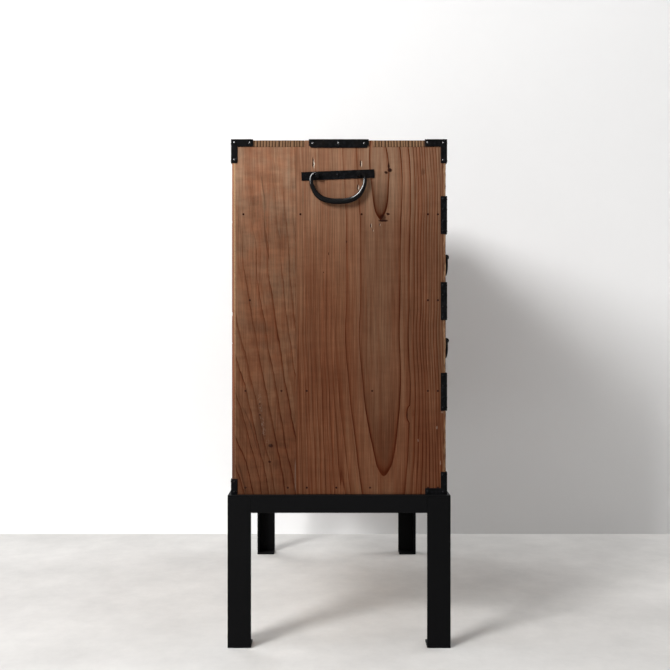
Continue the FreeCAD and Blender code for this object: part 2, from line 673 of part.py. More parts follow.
def build_drawer(name, bay, floor, top, handles, locked):
    """One drawer in the bay between two x, with a handle at each x given and perhaps a lock."""
    x0 = bay[0] + DRAWER_SIDE_GAP
    x1 = bay[1] - DRAWER_SIDE_GAP
    front_top = top - DRAWER_TOP_GAP
    middle = (x0 + x1) / 2
    front = block(x0, x1, FRONT, BOARD_BEHIND_FRONT, floor, front_top)
    walls = drawer_box(x0, x1, floor, top)
    bottom_front = BOARD_BEHIND_FRONT - DRAWER_RABBET
    y1 = CASE_BACK - DRAWER_BACK_GAP
    bottom = block(x0, x1, bottom_front, y1, floor, floor + DRAWER_BOTTOM_THICK)
    front = front.cut(Part.makeCompound(walls[:2] + [bottom]))
    handle_z = (floor + front_top) / 2 + HANDLE_RISE
    fittings = []
    for i, x in enumerate(handles):
        for post_x in (-DRAWER_POST_HALF_SPACING, DRAWER_POST_HALF_SPACING):
            depth = DRAWER_FRONT_THICK
            hole = shank_hole(post_x, depth)
            plate = bar(POST_PLATE_RADIUS, V(post_x, 0, 0), V(post_x, -IRON, 0)).cut(hole)
            pillar = post(post_x, DRAWER_BAIL_PIN, DRAWER_POST_WIDTH, DRAWER_BAIL_STANDOFF, depth)
            fittings += [moved(s, x, FRONT, handle_z) for s in (plate, pillar)]
            front = front.cut(moved(hole, x, FRONT, handle_z))
        swinging = bail(
            DRAWER_POST_HALF_SPACING, DRAWER_POST_WIDTH, DRAWER_BAIL_STANDOFF,
            DRAWER_BAIL_DROP, DRAWER_BAIL_ROD, DRAWER_BAIL_PIN,
        )
        ending = ("_left", "_right")[i] if len(handles) > 1 else ""
        export(name + "_bail" + ending, moved(swinging, x, FRONT, handle_z))
    if locked:
        plate_z = front_top - LOCK_PLATE_HEIGHT / 2 - NAIL_INSET
        fittings.append(moved(lock_plate(), middle, FRONT, plate_z))
        front = front.cut(moved(keyhole(DRAWER_FRONT_THICK), middle, FRONT, plate_z))
        for spot in plate_nails():
            fittings.append(moved(spot, middle, FRONT, plate_z))
        case, bolt = lock_body()
        fittings.append(moved(case, middle, BOARD_BEHIND_FRONT, front_top))
        export(name + "_lock_bolt", moved(bolt, middle, BOARD_BEHIND_FRONT, front_top))
    export(name + "_front", *solids_of(front))
    export(name + "_box", *walls)
    export(name + "_bottom", bottom)
    export(name + "_fittings", *fittings)


def plate_nails():
    """Nails near the clipped corners of a lock plate."""
    x = LOCK_PLATE_WIDTH / 2 - LOCK_PLATE_CLIP
    z = LOCK_PLATE_HEIGHT / 2 - LOCK_PLATE_CLIP
    return [nail(V(sx * x, -IRON, sz * z), V(0, -1, 0)) for sx in (-1, 1) for sz in (-1, 1)]


def drawer_list():
    """Name, bay, floor, top, handle places and whether it locks, for every drawer."""
    whole = (INNER_LEFT, INNER_RIGHT)
    top_left = (INNER_LEFT, TOP_PARTITION_LEFT)
    top_right = (TOP_PARTITION_LEFT + PARTITION_THICK, INNER_RIGHT)
    bottom = (INNER_LEFT, BOTTOM_PARTITION_LEFT)
    pair = (-WIDE_HANDLE_FROM_CENTRE, WIDE_HANDLE_FROM_CENTRE)
    return [
        ("drawer_top_left", top_left, TOP_ROW, CEILING, (sum(top_left) / 2,), False),
        ("drawer_top_right", top_right, TOP_ROW, CEILING, (sum(top_right) / 2,), False),
        ("drawer_upper", whole, UPPER_ROW, UPPER_ROW_TOP, pair, True),
        ("drawer_lower", whole, LOWER_ROW, LOWER_ROW_TOP, pair, True),
        ("drawer_bottom", bottom, FLOOR, BOTTOM_ROW_TOP, (sum(bottom) / 2,), False),
    ]


# ---- Door ----
def hinge_heights():
    """Centres of the two hinges, between the corner iron and the lowest strap."""
    reach = HINGE_FROM_IRON + HINGE_HEIGHT / 2
    return [BASE + CORNER_HEIGHT + reach, strap_heights()[0] - STRAP_HEIGHT / 2 - reach]


def hinge_parts(z):
    """Frame leaf, door leaf and pin of one hinge with its centre at height z."""
    low = z - HINGE_HEIGHT / 2
    high = z + HINGE_HEIGHT / 2
    third = HINGE_HEIGHT / 3
    face = FRONT - HINGE_LEAF_STEEL
    barrel = [V(HINGE_X, HINGE_Y, low + third * i) for i in range(4)]
    frame_leaf = block(HINGE_X, INNER_RIGHT + HINGE_FRAME_LEAF, face, FRONT, low, high)
    door_leaf = block(HINGE_X - HINGE_STRAP, HINGE_X, face, FRONT, low, high)
    swept = HINGE_BARREL + HINGE_RELIEF
    gap = HINGE_KNUCKLE_GAP
    middle_room = bar(swept, barrel[1] - V(0, 0, gap), barrel[2] + V(0, 0, gap))
    end_rooms = [
        bar(swept, barrel[0] - V(0, 0, gap), barrel[1] + V(0, 0, gap)),
        bar(swept, barrel[2] - V(0, 0, gap), barrel[3] + V(0, 0, gap)),
    ]
    ends = [bar(HINGE_BARREL, barrel[0], barrel[1]), bar(HINGE_BARREL, barrel[2], barrel[3])]
    knuckle = bar(HINGE_BARREL, barrel[1] + V(0, 0, gap), barrel[2] - V(0, 0, gap))
    frame_leaf = frame_leaf.cut(middle_room).multiFuse(ends)
    door_leaf = door_leaf.cut(Part.makeCompound(end_rooms)).fuse(knuckle)
    bore = bar(HINGE_PIN + HINGE_PIN_FIT, barrel[0], barrel[3])
    pin = bar(HINGE_PIN, barrel[0], barrel[3])
    return frame_leaf.cut(bore), door_leaf.cut(bore), pin


def build_door():
    panel = block(DOOR_LEFT, DOOR_RIGHT, FRONT, BOARD_BEHIND_FRONT, DOOR_BOTTOM, DOOR_TOP)
    plate_x = DOOR_LEFT + LOCK_PLATE_WIDTH / 2 + NAIL_INSET
    panel = panel.cut(moved(keyhole(DRAWER_FRONT_THICK), plate_x, FRONT, DOOR_MIDDLE))
    irons = [moved(s, plate_x, FRONT, DOOR_MIDDLE) for s in [lock_plate()] + plate_nails()]
    case, bolt = lock_body()
    irons.append(door_lock_place(case))
    frame = []
    for z in hinge_heights():
        frame_leaf, door_leaf, pin = hinge_parts(z)
        frame += solids_of(frame_leaf) + [pin]
        irons += solids_of(door_leaf)
        for x in (HINGE_X - HINGE_STRAP + NAIL_INSET, HINGE_X - HINGE_STRAP / 2):
            irons.append(nail(V(x, FRONT - HINGE_LEAF_STEEL, z), V(0, -1, 0)))
    export("door_panel", panel)
    export("door_irons", *irons)
    export("door_lock_bolt", door_lock_place(bolt))
    export("door_hinge_frames", *frame)


def build():
    os.makedirs("parts", exist_ok=True)
    build_stand()
    build_case()
    build_case_irons()
    build_side_handles()
    for drawer in drawer_list():
        build_drawer(*drawer)
    build_door()


build()
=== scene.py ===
"""The looks of a small clothes chest of cedar and black iron on a steel stand.

The fixed frame holds every piece's place; the operators below dress it with wood, iron and steel.
"""

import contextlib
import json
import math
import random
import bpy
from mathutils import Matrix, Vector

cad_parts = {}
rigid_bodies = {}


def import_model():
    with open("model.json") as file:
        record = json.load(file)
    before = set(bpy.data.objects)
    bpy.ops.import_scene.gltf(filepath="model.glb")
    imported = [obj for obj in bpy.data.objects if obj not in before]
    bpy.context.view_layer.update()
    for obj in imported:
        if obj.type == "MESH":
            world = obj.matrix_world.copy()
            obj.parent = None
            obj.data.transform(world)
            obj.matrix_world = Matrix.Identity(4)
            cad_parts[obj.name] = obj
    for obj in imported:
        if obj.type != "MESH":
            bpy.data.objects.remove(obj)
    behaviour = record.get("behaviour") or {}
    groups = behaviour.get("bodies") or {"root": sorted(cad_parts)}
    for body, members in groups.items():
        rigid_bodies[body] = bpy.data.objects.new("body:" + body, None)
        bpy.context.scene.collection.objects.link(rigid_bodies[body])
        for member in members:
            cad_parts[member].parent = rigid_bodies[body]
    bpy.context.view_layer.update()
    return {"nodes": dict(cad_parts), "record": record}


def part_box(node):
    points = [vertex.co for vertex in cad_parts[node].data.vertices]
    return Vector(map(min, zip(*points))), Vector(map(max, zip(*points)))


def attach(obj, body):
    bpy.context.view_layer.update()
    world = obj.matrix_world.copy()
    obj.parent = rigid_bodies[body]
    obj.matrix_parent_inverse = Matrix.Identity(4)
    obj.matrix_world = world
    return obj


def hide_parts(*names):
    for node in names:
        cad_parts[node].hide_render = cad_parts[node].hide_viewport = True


bl_info = {
    "name": "Small clothes chest",
    "version": (1, 0, 0),
    "blender": (4, 5, 0),
    "location": "View3D > Sidebar > Chest",
    "description": "Builds the boards, irons and stand of a small clothes chest round its frame",
    "category": "Add Mesh",
}

import bmesh
import bpy
from mathutils import Vector

for leftover in list(bpy.data.objects):
    bpy.data.objects.remove(leftover)
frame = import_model()

MM = 0.001
BODY = {node: body for body, nodes in frame["record"]["behaviour"]["bodies"].items() for node in nodes}
AXES = "xyz"
FINGER_HALF = 58.3 * MM     # half the width of the side's finger through the top
ROD_MIDDLE = 4.9 * MM       # a side handle's radius at its bottom
ROD_END = 2.4 * MM          # and at its pins
MERGED = 0.002 * MM         # points nearer than this are one point
PLATE = 3 * MM              # a flat iron is thinner than this
THREAD_END = 12 * MM        # over which a crack or a line fades out
WEAR_LENGTH = 9 * MM        # from dip to dip along a worn arris
WAVE_LENGTH = 45 * MM       # from wave to wave of the plane
CASE_MIDDLE = 0.56          # height between the case's upper and lower irons
DEEP_AND_SHADED = (0.410, 0.343, 0.303)        # what ageing and painted shade leave of the wood's red, green and blue
RING_END = (0.42, 0.25, 0.19)       # and what the line at a ring's end leaves
SAWN_RING = (0.045, 0.024, 0.015)
SAWN_PORE = (0.03, 0.02, 0.014)
# The dark brown of stains, also painted as the shade inside the front board's dents.
STAIN_AND_SHADE = (0.012, 0.004, 0.003)
PEG_PORE = (0.040, 0.016, 0.009)


def shade(red, green, blue):
    """A colour on the 0 to 255 scale of a paint chart, as light."""
    parts = [value / 255 for value in (red, green, blue)]
    return tuple(v / 12.92 if v <= 0.04045 else ((v + 0.055) / 1.055) ** 2.4 for v in parts)


def tint(name, description, colour):
    """A colour that a user can change, given on the paint chart's scale."""
    return bpy.props.FloatVectorProperty(
        name=name, description=description, subtype="COLOR", size=3, min=0, max=1, default=shade(*colour))


def length(name, description, millimetres):
    """A size that a user can change."""
    return bpy.props.FloatProperty(
        name=name, description=description, subtype="DISTANCE", unit="LENGTH", precision=5,
        min=0, default=millimetres * MM)


def share(name, description, value):
    """A strength that a user can change."""
    return bpy.props.FloatProperty(name=name, description=description, min=0, default=value)


class ChestSizes(bpy.types.PropertyGroup):
    """Sizes that the frame leaves to the finish."""
    board_cell: length("Board cell", "Spacing of a hewn board's surface lines", 6.0)
    arris: length("Arris", "Rounding of a board's worn outer edges", 1.3)
    rear_arris: length("Rear arris", "Rounding of the side's edge beside the back boards", 0.45)
    seam: length("Seam", "Rounding where two boards meet", 0.08)
    board_wave: length("Board wave", "Depth of the plane's waves in a board", 0.35)
    arris_wear: length("Arris wear", "Depth of the wear along an outer edge", 1.1)
    inner_edge: length("Inner edge", "Rounding of the boards inside the chest", 0.6)
    post_round: length("Post rounding", "Rounding of the side handles' posts", 1.1)
    iron_edge: length("Iron edge", "Rounding of the plates' filed edges", 0.35)
    steel_edge: length("Steel edge", "Rounding of the rolled angle's edges", 0.7)
    nail_radius: length("Nail radius", "Radius of a nail's head", 2.6)
    nail_rise: length("Nail rise", "Height of a nail's head", 1.3)
    peg_rise: length("Peg rise", "How far a wooden peg stands out", 0.15)
    rubbed_above: length("Rubbed above", "Nails above this height are rubbed smooth and shine", 830.0)


class ChestColours(bpy.types.PropertyGroup):
    """Colours of the wood, the metals and the room."""
    early_wood: tint("Early wood", "Pale part of each year's ring", (148, 117, 94))
    late_wood: tint("Late wood", "Dark part of each year's ring", (114, 68, 45))
    red_band: tint("Red band", "Rings that went redder with age", (138, 78, 52))
    old_wood: tint("Old wood", "Deep brown of the handled and shaded wood", (112, 68, 48))
    pale_streak: tint("Pale streak", "Pale strands between the dark ones", (168, 132, 106))
    # Pale marks, also painted as the highlight on the lit wall beside each dent and along a seam.
    pale_mark_and_highlight: tint("Scar", "Pale torn fibres beside a dent", (196, 182, 166))
    # Fresh wood, also painted as the highlight along the side's rear arris and the back boards' strip.
    bare_wood_and_highlight: tint("Bare wood", "Fresh wood on a worn edge", (198, 164, 128))
    end_wood: tint("End wood", "Sawn ends of the boards", (136, 104, 78))
    # The strip's three colours, low to high, also paint shade: darker low down.
    strip_low: tint("Low strip", "Sawn strip of the back boards, low down", (92, 58, 44))
    strip_high: tint("High strip", "Sawn strip of the back boards, higher up", (130, 78, 55))
    strip_pale: tint("Pale strip", "Sawn strip of the back boards near the top", (168, 120, 90))
    inside_wood: tint("Inside wood", "Bare wood inside the drawers", (172, 141, 110))
    peg: tint("Peg", "Dark wooden pegs", (28, 12, 9))
    iron: tint("Iron", "Blackened iron", (8, 8, 9))
    rust: tint("Rust", "Brown bloom on the iron", (20, 15, 13))
    scale: tint("Scale", "Grey forging scale on the iron", (34, 35, 39))
    steel: tint("Steel", "Black paint of the stand", (9, 9, 10))
    floor: tint("Floor", "Pale floor", (222, 220, 217))
    wall: tint("Wall", "Pale wall behind the chest", (238, 238, 238))


class ChestLight(bpy.types.PropertyGroup):
    """Strengths of the room's lights."""
    room: share("Room", "Light from all round", 0.34)
    window: share("Window", "Power of the large far lamp at the upper left, in watts", 236.0)
    gleam: share("Gleam", "Power of the side window that shows only in shiny metal, in watts", 1300.0)
    front: share("Front", "Power of the weak lamp before the drawers, in watts", 26.0)
    back: share("Back", "Power of the weak lamp behind the chest, in watts", 36.0)


# ---- Modelling helpers ----
def only(obj):
    """Selects this object alone and makes it active."""
    bpy.ops.object.select_all(action="DESELECT")
    obj.select_set(True)
    bpy.context.view_layer.objects.active = obj


def settle(obj, name):
    """Names a fresh primitive and moves its place, turn and scale into its mesh."""
    only(obj)
    obj.name = name
    obj.data.name = name
    bpy.ops.object.transform_apply(location=True, rotation=True, scale=True)
    return obj


@contextlib.contextmanager
def editing(obj):
    """Edit mode on this object alone, for as long as the block lasts."""
    only(obj)
    bpy.ops.object.mode_set(mode="EDIT")
    yield
    bpy.ops.object.mode_set(mode="OBJECT")


def fresh(primitive, name, **settings):
    """Adds a primitive with nothing else selected."""
    bpy.ops.object.select_all(action="DESELECT")
    primitive(**settings)
    return settle(bpy.context.object, name)
def pick(obj, kind, test):
    """In edit mode, selects the faces or edges that pass the test."""
    bpy.ops.mesh.select_mode(type=kind)
    bpy.ops.mesh.select_all(action="DESELECT")
    mesh = bmesh.from_edit_mesh(obj.data)
    found = 0
    for part in mesh.faces if kind == "FACE" else mesh.edges:
        if test(part):
            part.select_set(True)
            found += 1
    bmesh.update_edit_mesh(obj.data)
    return found


def edges_on(obj, lines):
    """In edit mode, selects the edges along box edges given as {axis: value} with two entries."""
    def on_line(edge):
        return any(
            all(abs(end.co[axis] - value) < 0.01 * MM for end in edge.verts for axis, value in line.items())
            for line in lines)
    return pick(obj, "EDGE", on_line)


def finish_with(obj, kind, **settings):
    """Adds a modifier with its settings and applies it."""
    only(obj)
    modifier = obj.modifiers.new(kind.title(), kind)
    for key, value in settings.items():
        setattr(modifier, key, value)
    bpy.ops.object.modifier_apply(modifier=modifier.name)


def bevelled(obj, width):
    """Rounds an object's sharp edges."""
    finish_with(obj, "BEVEL", width=width, segments=2, limit_method="ANGLE",
                angle_limit=math.radians(50), use_clamp_overlap=True)


def smooth(obj, degrees=35):
    """Shades an object smooth, except over edges sharper than this."""
    only(obj)
    bpy.ops.object.shade_smooth_by_angle(angle=math.radians(degrees))


def face_out(obj):
    """Turns the faces of a closed shell outwards."""
    with editing(obj):
        bpy.ops.mesh.select_all(action="SELECT")
        bpy.ops.mesh.normals_make_consistent(inside=False)


def twin(obj, name, mirror=False):
    """A copy with its own mesh, mirrored to the chest's right side if asked."""
    only(obj)
    bpy.ops.object.duplicate()
    copy = bpy.context.object
    if mirror:
        copy.scale.x = -1
    settle(copy, name)
    if mirror:
        face_out(copy)
    return copy
def joined(objects, name):
    """One object out of several."""
    only(objects[0])
    for obj in objects:
        obj.select_set(True)
    bpy.ops.object.join()
    return settle(bpy.context.object, name)


def hang(obj, node, material):
    """Puts a piece on its node's body, in the node's place, with its material, and hides the node."""
    obj.data.materials.clear()
    obj.data.materials.append(material)
    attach(obj, BODY[node])
    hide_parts(node)


def finish_part(obj, material, test):
    """Gives a second material to the faces that pass the test."""
    obj.data.materials.append(material)
    for face in obj.data.polygons:
        face.material_index = int(test(face))


def outline_of(node, name, edge=0.0):
    """A piece that starts from a node's own solids, merged, with its sharp edges rounded."""
    obj = bpy.data.objects.new(name, frame["nodes"][node].data.copy())
    bpy.context.scene.collection.objects.link(obj)
    settle(obj, name)
    with editing(obj):
        bpy.ops.mesh.select_all(action="SELECT")
        bpy.ops.mesh.customdata_custom_splitnormals_clear()
        bpy.ops.mesh.remove_doubles(threshold=MERGED)
        bpy.ops.mesh.dissolve_limited(angle_limit=math.radians(0.4))
    if edge:
        bevelled(obj, edge)
    smooth(obj)
    finish_with(obj, "WEIGHTED_NORMAL", keep_sharp=True)
    return obj


def swinging_rod(name, low, high):
    """A forged handle hanging in its node's box: full at the bottom, tapering to the pins in its posts."""
    drop = high.z - low.z - ROD_END
    reach = (high.y - low.y) / 2 + 1.5 * MM - (ROD_MIDDLE + ROD_END) / 2
    # Each point of one half: across and down as shares of the reach and the drop, and its fullness.
    half = [(0.69, 0.0, 0.0), (0.84, -0.01, 0.05), (0.975, -0.10, 0.15), (1.0, -0.27, 0.3),
            (0.94, -0.52, 0.55), (0.71, -0.83, 0.9), (0.35, -0.975, 1.0), (0.0, -1.0, 1.0)]
    outline = [(-across, down, full) for across, down, full in half] + half[-2::-1]
    bpy.ops.object.select_all(action="DESELECT")
    bpy.ops.curve.primitive_bezier_curve_add()
    rod = bpy.context.object
    line = rod.data
    line.splines.clear()
    line.dimensions = "3D"
    line.bevel_depth = ROD_MIDDLE
    line.bevel_resolution = 3
    line.resolution_u = 6
    line.use_fill_caps = True
    spline = line.splines.new("BEZIER")
    spline.bezier_points.add(len(outline) - 1)
    for point, (across, down, full) in zip(spline.bezier_points, outline):
        point.co = (across * reach, down * (drop - ROD_MIDDLE), 0)
        point.handle_left_type = point.handle_right_type = "AUTO"
        point.radius = (ROD_END + (ROD_MIDDLE - ROD_END) * full) / ROD_MIDDLE
    rod.rotation_euler = (math.pi / 2, 0, math.pi / 2)
    rod.location = ((low.x + high.x) / 2, (low.y + high.y) / 2, high.z - ROD_END)
    bpy.ops.object.convert(target="MESH")
    rod = settle(bpy.context.object, name)
    with editing(rod):
        bpy.ops.mesh.select_all(action="SELECT")
        bpy.ops.mesh.remove_doubles(threshold=0.01 * MM)
    face_out(rod)
    smooth(rod, 60)
    return rod


def loose_solids(node):
    """Lowest and highest corner of each separate solid in a node."""
    mesh = bmesh.new()
    mesh.from_mesh(frame["nodes"][node].data)
    bmesh.ops.remove_doubles(mesh, verts=mesh.verts, dist=MERGED)
    waiting = set(mesh.verts)
    found = []
    while waiting:
        front = [waiting.pop()]
        group = []
        while front:
            vert = front.pop()
            group.append(vert.co)
            for edge in vert.link_edges:
                other = edge.other_vert(vert)
                if other in waiting:
                    waiting.discard(other)
                    front.append(other)
        low = Vector([min(p[i] for p in group) for i in range(3)])
        high = Vector([max(p[i] for p in group) for i in range(3)])
        found.append((low, high))
    mesh.free()
    found.sort(key=lambda box: tuple(round(v, 6) for v in (*box[0], *box[1])))
    return found


def board(name, low, high, cell):
    """An upright slab facing left and right, with a grid over its two wide faces and plain edges."""
    size = high - low
    obj = fresh(bpy.ops.mesh.primitive_grid_add, name, x_subdivisions=max(2, round(size.y / cell)),
                y_subdivisions=max(2, round(size.z / cell)), size=1)
    obj.rotation_euler = (math.pi / 2, 0, math.pi / 2)
    obj.scale = (size.y, size.z, 1)
    obj.location = (low + high) / 2
    settle(obj, name)
    finish_with(obj, "SOLIDIFY", thickness=size.x, offset=0, use_even_offset=True)
    return obj


def soften(obj, lines, width, segments=3):
    """Rounds the edges that lie on the given box edges."""
    with editing(obj):
        if edges_on(obj, lines):
            bpy.ops.mesh.bevel(offset=width, segments=segments, profile=0.5, clamp_overlap=True)


def ripple(obj, depth, size, middle, **group):
    """Moves the surface in soft waves, all over or in one vertex group."""
    clouds = bpy.data.textures.new(obj.name + "_waves", "CLOUDS")
    clouds.noise_scale = size
    clouds.noise_depth = 2
    finish_with(obj, "DISPLACE", texture=clouds, strength=depth, mid_level=middle, **group)
def near_arrises(obj, lines, reach):
    """A vertex group of the points that lie near the given box edges."""
    group = obj.vertex_groups.new(name="arrises")
    for vert in obj.data.vertices:
        for line in lines:
            gaps = [abs(vert.co[axis] - value) for axis, value in line.items()]
            if max(gaps) < reach:
                group.add([vert.index], 1.0, "REPLACE")
                break
    return group.name


# ---- Materials ----
class Recipe:
    """Writes a material's nodes. Each call returns a socket that later calls can read."""

    def __init__(self, name):
        self.material = bpy.data.materials.new(name)
        self.material.use_nodes = True
        self.tree = self.material.node_tree
        self.shader = self.tree.nodes["Principled BSDF"]
        place = self.add("ShaderNodeTexCoord")
        self.facing = place.outputs["Normal"]
        self.axes = dict(zip(AXES, self.add("ShaderNodeSeparateXYZ", place.outputs["Object"]).outputs))
        self.x, self.y, self.z = self.axes.values()
        self.frayed = None

    def add(self, kind, *inputs, **settings):
        node = self.tree.nodes.new(kind)
        for key, value in settings.items():
            setattr(node, key, value)
        for socket, value in zip(node.inputs, inputs):
            self.feed(socket, value)
        return node

    def feed(self, socket, value):
        if isinstance(value, bpy.types.NodeSocket):
            self.tree.links.new(value, socket)
        elif value is not None:
            if socket.type == "RGBA" and len(value) == 3:
                value = (*value, 1)
            socket.default_value = value

    def calc(self, operation, *values):
        return self.add("ShaderNodeMath", *values, operation=operation).outputs[0]

    def chain(self, operation, first, *others):
        """One operation over any number of values."""
        for other in others:
            first = self.calc(operation, first, other)
        return first

    def times(self, *values):
        return self.chain("MULTIPLY", *values)

    def plus(self, *values):
        return self.chain("ADD", *values)

    def most(self, *values):
        return self.chain("MAXIMUM", *values)

    def span(self, value, low, high, to_low=0.0, to_high=1.0, kind="LINEAR"):
        node = self.add("ShaderNodeMapRange", value, low, high, to_low, to_high, interpolation_type=kind)
        return node.outputs[0]

    def curve(self, value, points, kind="AUTO"):
        """A graph through points of (value, result)."""
        low, high = points[0][0], points[-1][0]
        results = [result for _, result in points]
        bottom, top = min(results), max(results)
        node = self.add("ShaderNodeFloatCurve", 1.0, self.span(value, low, high))
        line = node.mapping.curves[0]
        spots = [((x - low) / (high - low), (y - bottom) / (top - bottom)) for x, y in points]
        line.points[0].location = spots[0]
        line.points[-1].location = spots[-1]
        for spot in spots[1:-1]:
            line.points.new(*spot)
        for point in line.points:
            point.handle_type = kind
        node.mapping.update()
        return self.span(node.outputs[0], 0.0, 1.0, bottom, top)

    def vector(self, *parts):
        return self.add("ShaderNodeCombineXYZ", *parts).outputs[0]

    def speckle(self, scales, detail=2.0, roughness=0.5, shift=0.0):
        """Noise with its own scale along x, y and z, in waves a metre."""
        parts = [self.calc("MULTIPLY_ADD", axis, scale, shift)
                 for axis, scale in zip(self.axes.values(), scales)]
        return self.add("ShaderNodeTexNoise", self.vector(*parts), None, 1.0, detail, roughness).outputs[0]

    def mix(self, amount, first, second, blend="MIX"):
        node = self.add("ShaderNodeMix", amount, data_type="RGBA", blend_type=blend)
        self.feed(node.inputs[6], first)
        self.feed(node.inputs[7], second)
        return node.outputs[2]

    def tinted(self, colour, by):
        """A colour with its red, green and blue multiplied by another's."""
        return self.mix(1.0, colour, by, "MULTIPLY")

    def shaded(self, colour, grey):
        """A colour made darker or lighter by a value."""
        return self.tinted(colour, self.add("ShaderNodeCombineColor", grey, grey, grey).outputs[0])

    def spot(self, y, z, wide, tall, soft=0.6):
        """1 inside an uneven ellipse on the side, given in mm by its centre and radii; 0 outside."""
        if self.frayed is None:
            fray = [self.span(self.speckle([330.0] * 3, 2.0, 0.5, shift), 0.3, 0.7, -0.55 * MM, 0.55 * MM)
                    for shift in (61.0, 67.0)]
            self.frayed = self.plus(self.y, fray[0]), self.plus(self.z, fray[1])
        squares = []
        for place, centre, radius in zip(self.frayed, (y, z), (wide, tall)):
            away = self.calc("DIVIDE", self.calc("SUBTRACT", place, centre * MM), radius * MM)
            squares.append(self.times(away, away))
        return self.span(self.plus(*squares), 1 + soft, 1 - soft, kind="SMOOTHSTEP")

    def spots(self, strength, *ellipses):
        """This strength inside any of several spots; 0 outside."""
        return self.times(strength, self.most(*(self.spot(*ellipse) for ellipse in ellipses)))

    def thread(self, points, half_width):
        """1 along a thin crack or line on the side, through points of (Z, Y); 0 elsewhere."""
        away = self.calc("ABSOLUTE", self.calc("SUBTRACT", self.y, self.curve(self.z, points)))
        low, high = points[0][0], points[-1][0]
        return self.times(self.span(away, half_width, half_width * 0.3),
                          self.span(self.z, low, low + THREAD_END),
                          self.span(self.z, high, high - THREAD_END))

    def surface(self, colour, roughness, gloss, height, depth, strength):
        """Joins up the finished surface, with a relief of this depth in mm."""
        self.feed(self.shader.inputs["Base Color"], colour)
        self.feed(self.shader.inputs["Roughness"], roughness)
        self.shader.inputs["Specular IOR Level"].default_value = gloss
        bump = self.add("ShaderNodeBump", strength, depth * MM)
        self.feed(bump.inputs["Height"], height)
        self.feed(self.shader.inputs["Normal"], bump.outputs[0])
        return self.material


def grain_scales(along, across_scale, along_scale):
    """Noise scales that stretch a pattern along the grain."""
    return [along_scale if axis == along else across_scale for axis in AXES]


def luck_of(r, years, seed, scale):
    """A slow wander in how wide the rings grow."""
    node = r.add("ShaderNodeTexNoise", None, r.plus(years, seed), scale, 2.0, noise_dimensions="1D")
    return node.outputs[0]


def ring_marks(r, phase, width, contrast, chance, seed):
    """The late wood's dark bands and the thin lines where the rings end."""
    gap = r.times(r.calc("SUBTRACT", 1.0, r.calc("FRACT", phase)), width)
    late = r.times(contrast, r.curve(
        gap, [(0, 0.9), (1.2, 0.74), (2.6, 0.46), (5.0, 0.2), (9.0, 0.08), (16.0, 0.0)]))
    line = r.curve(gap, [(0, 0.3), (0.2, 1.0), (0.8, 1.0), (1.3, 0.55), (2.2, 0.14), (3.4, 0.0)], "VECTOR")
    broken = r.speckle([30.0, 30.0, 12.0], 2.0, 0.5, seed + 17)
    line = r.times(line, contrast, r.span(chance, 0, 1, 0.48, 1.0), r.span(broken, 0.35, 0.62, 0.55, 1.2))
    return late, line


def sawn_end(r, phase, colours, seed, plain):
    """The sawn end of a board: its rings, or the plain strip that shows at the chest's back, painted darker
    low down and with a painted highlight along its rear arris.
    """
    if plain:
        # The strip darkens low down and pales high up: its own tone, and painted shade like the side's.
        aged_and_shaded = r.mix(r.span(r.z, 0.30, 0.46), colours.strip_low, colours.strip_high)
        sawn = r.mix(age(r, 1.0), aged_and_shaded, colours.strip_pale)
        # Along the strip's rear arris a painted highlight, partly bare wood, stronger higher up.
        lit = r.times(r.span(r.y, 0.1800, 0.1792), r.span(r.z, 0.44, 0.62, 0.06, 0.9))
        sawn = r.mix(lit, sawn, colours.bare_wood_and_highlight)
    else:
        sawn = r.mix(r.span(r.calc("FRACT", phase), 0.25, 0.85), colours.end_wood, SAWN_RING)
    pores = r.speckle([900.0] * 3, 2.0, 0.5, seed + 11)
    return r.mix(r.span(pores, 0.35, 0.65, 0, 0.3), sawn, SAWN_PORE)


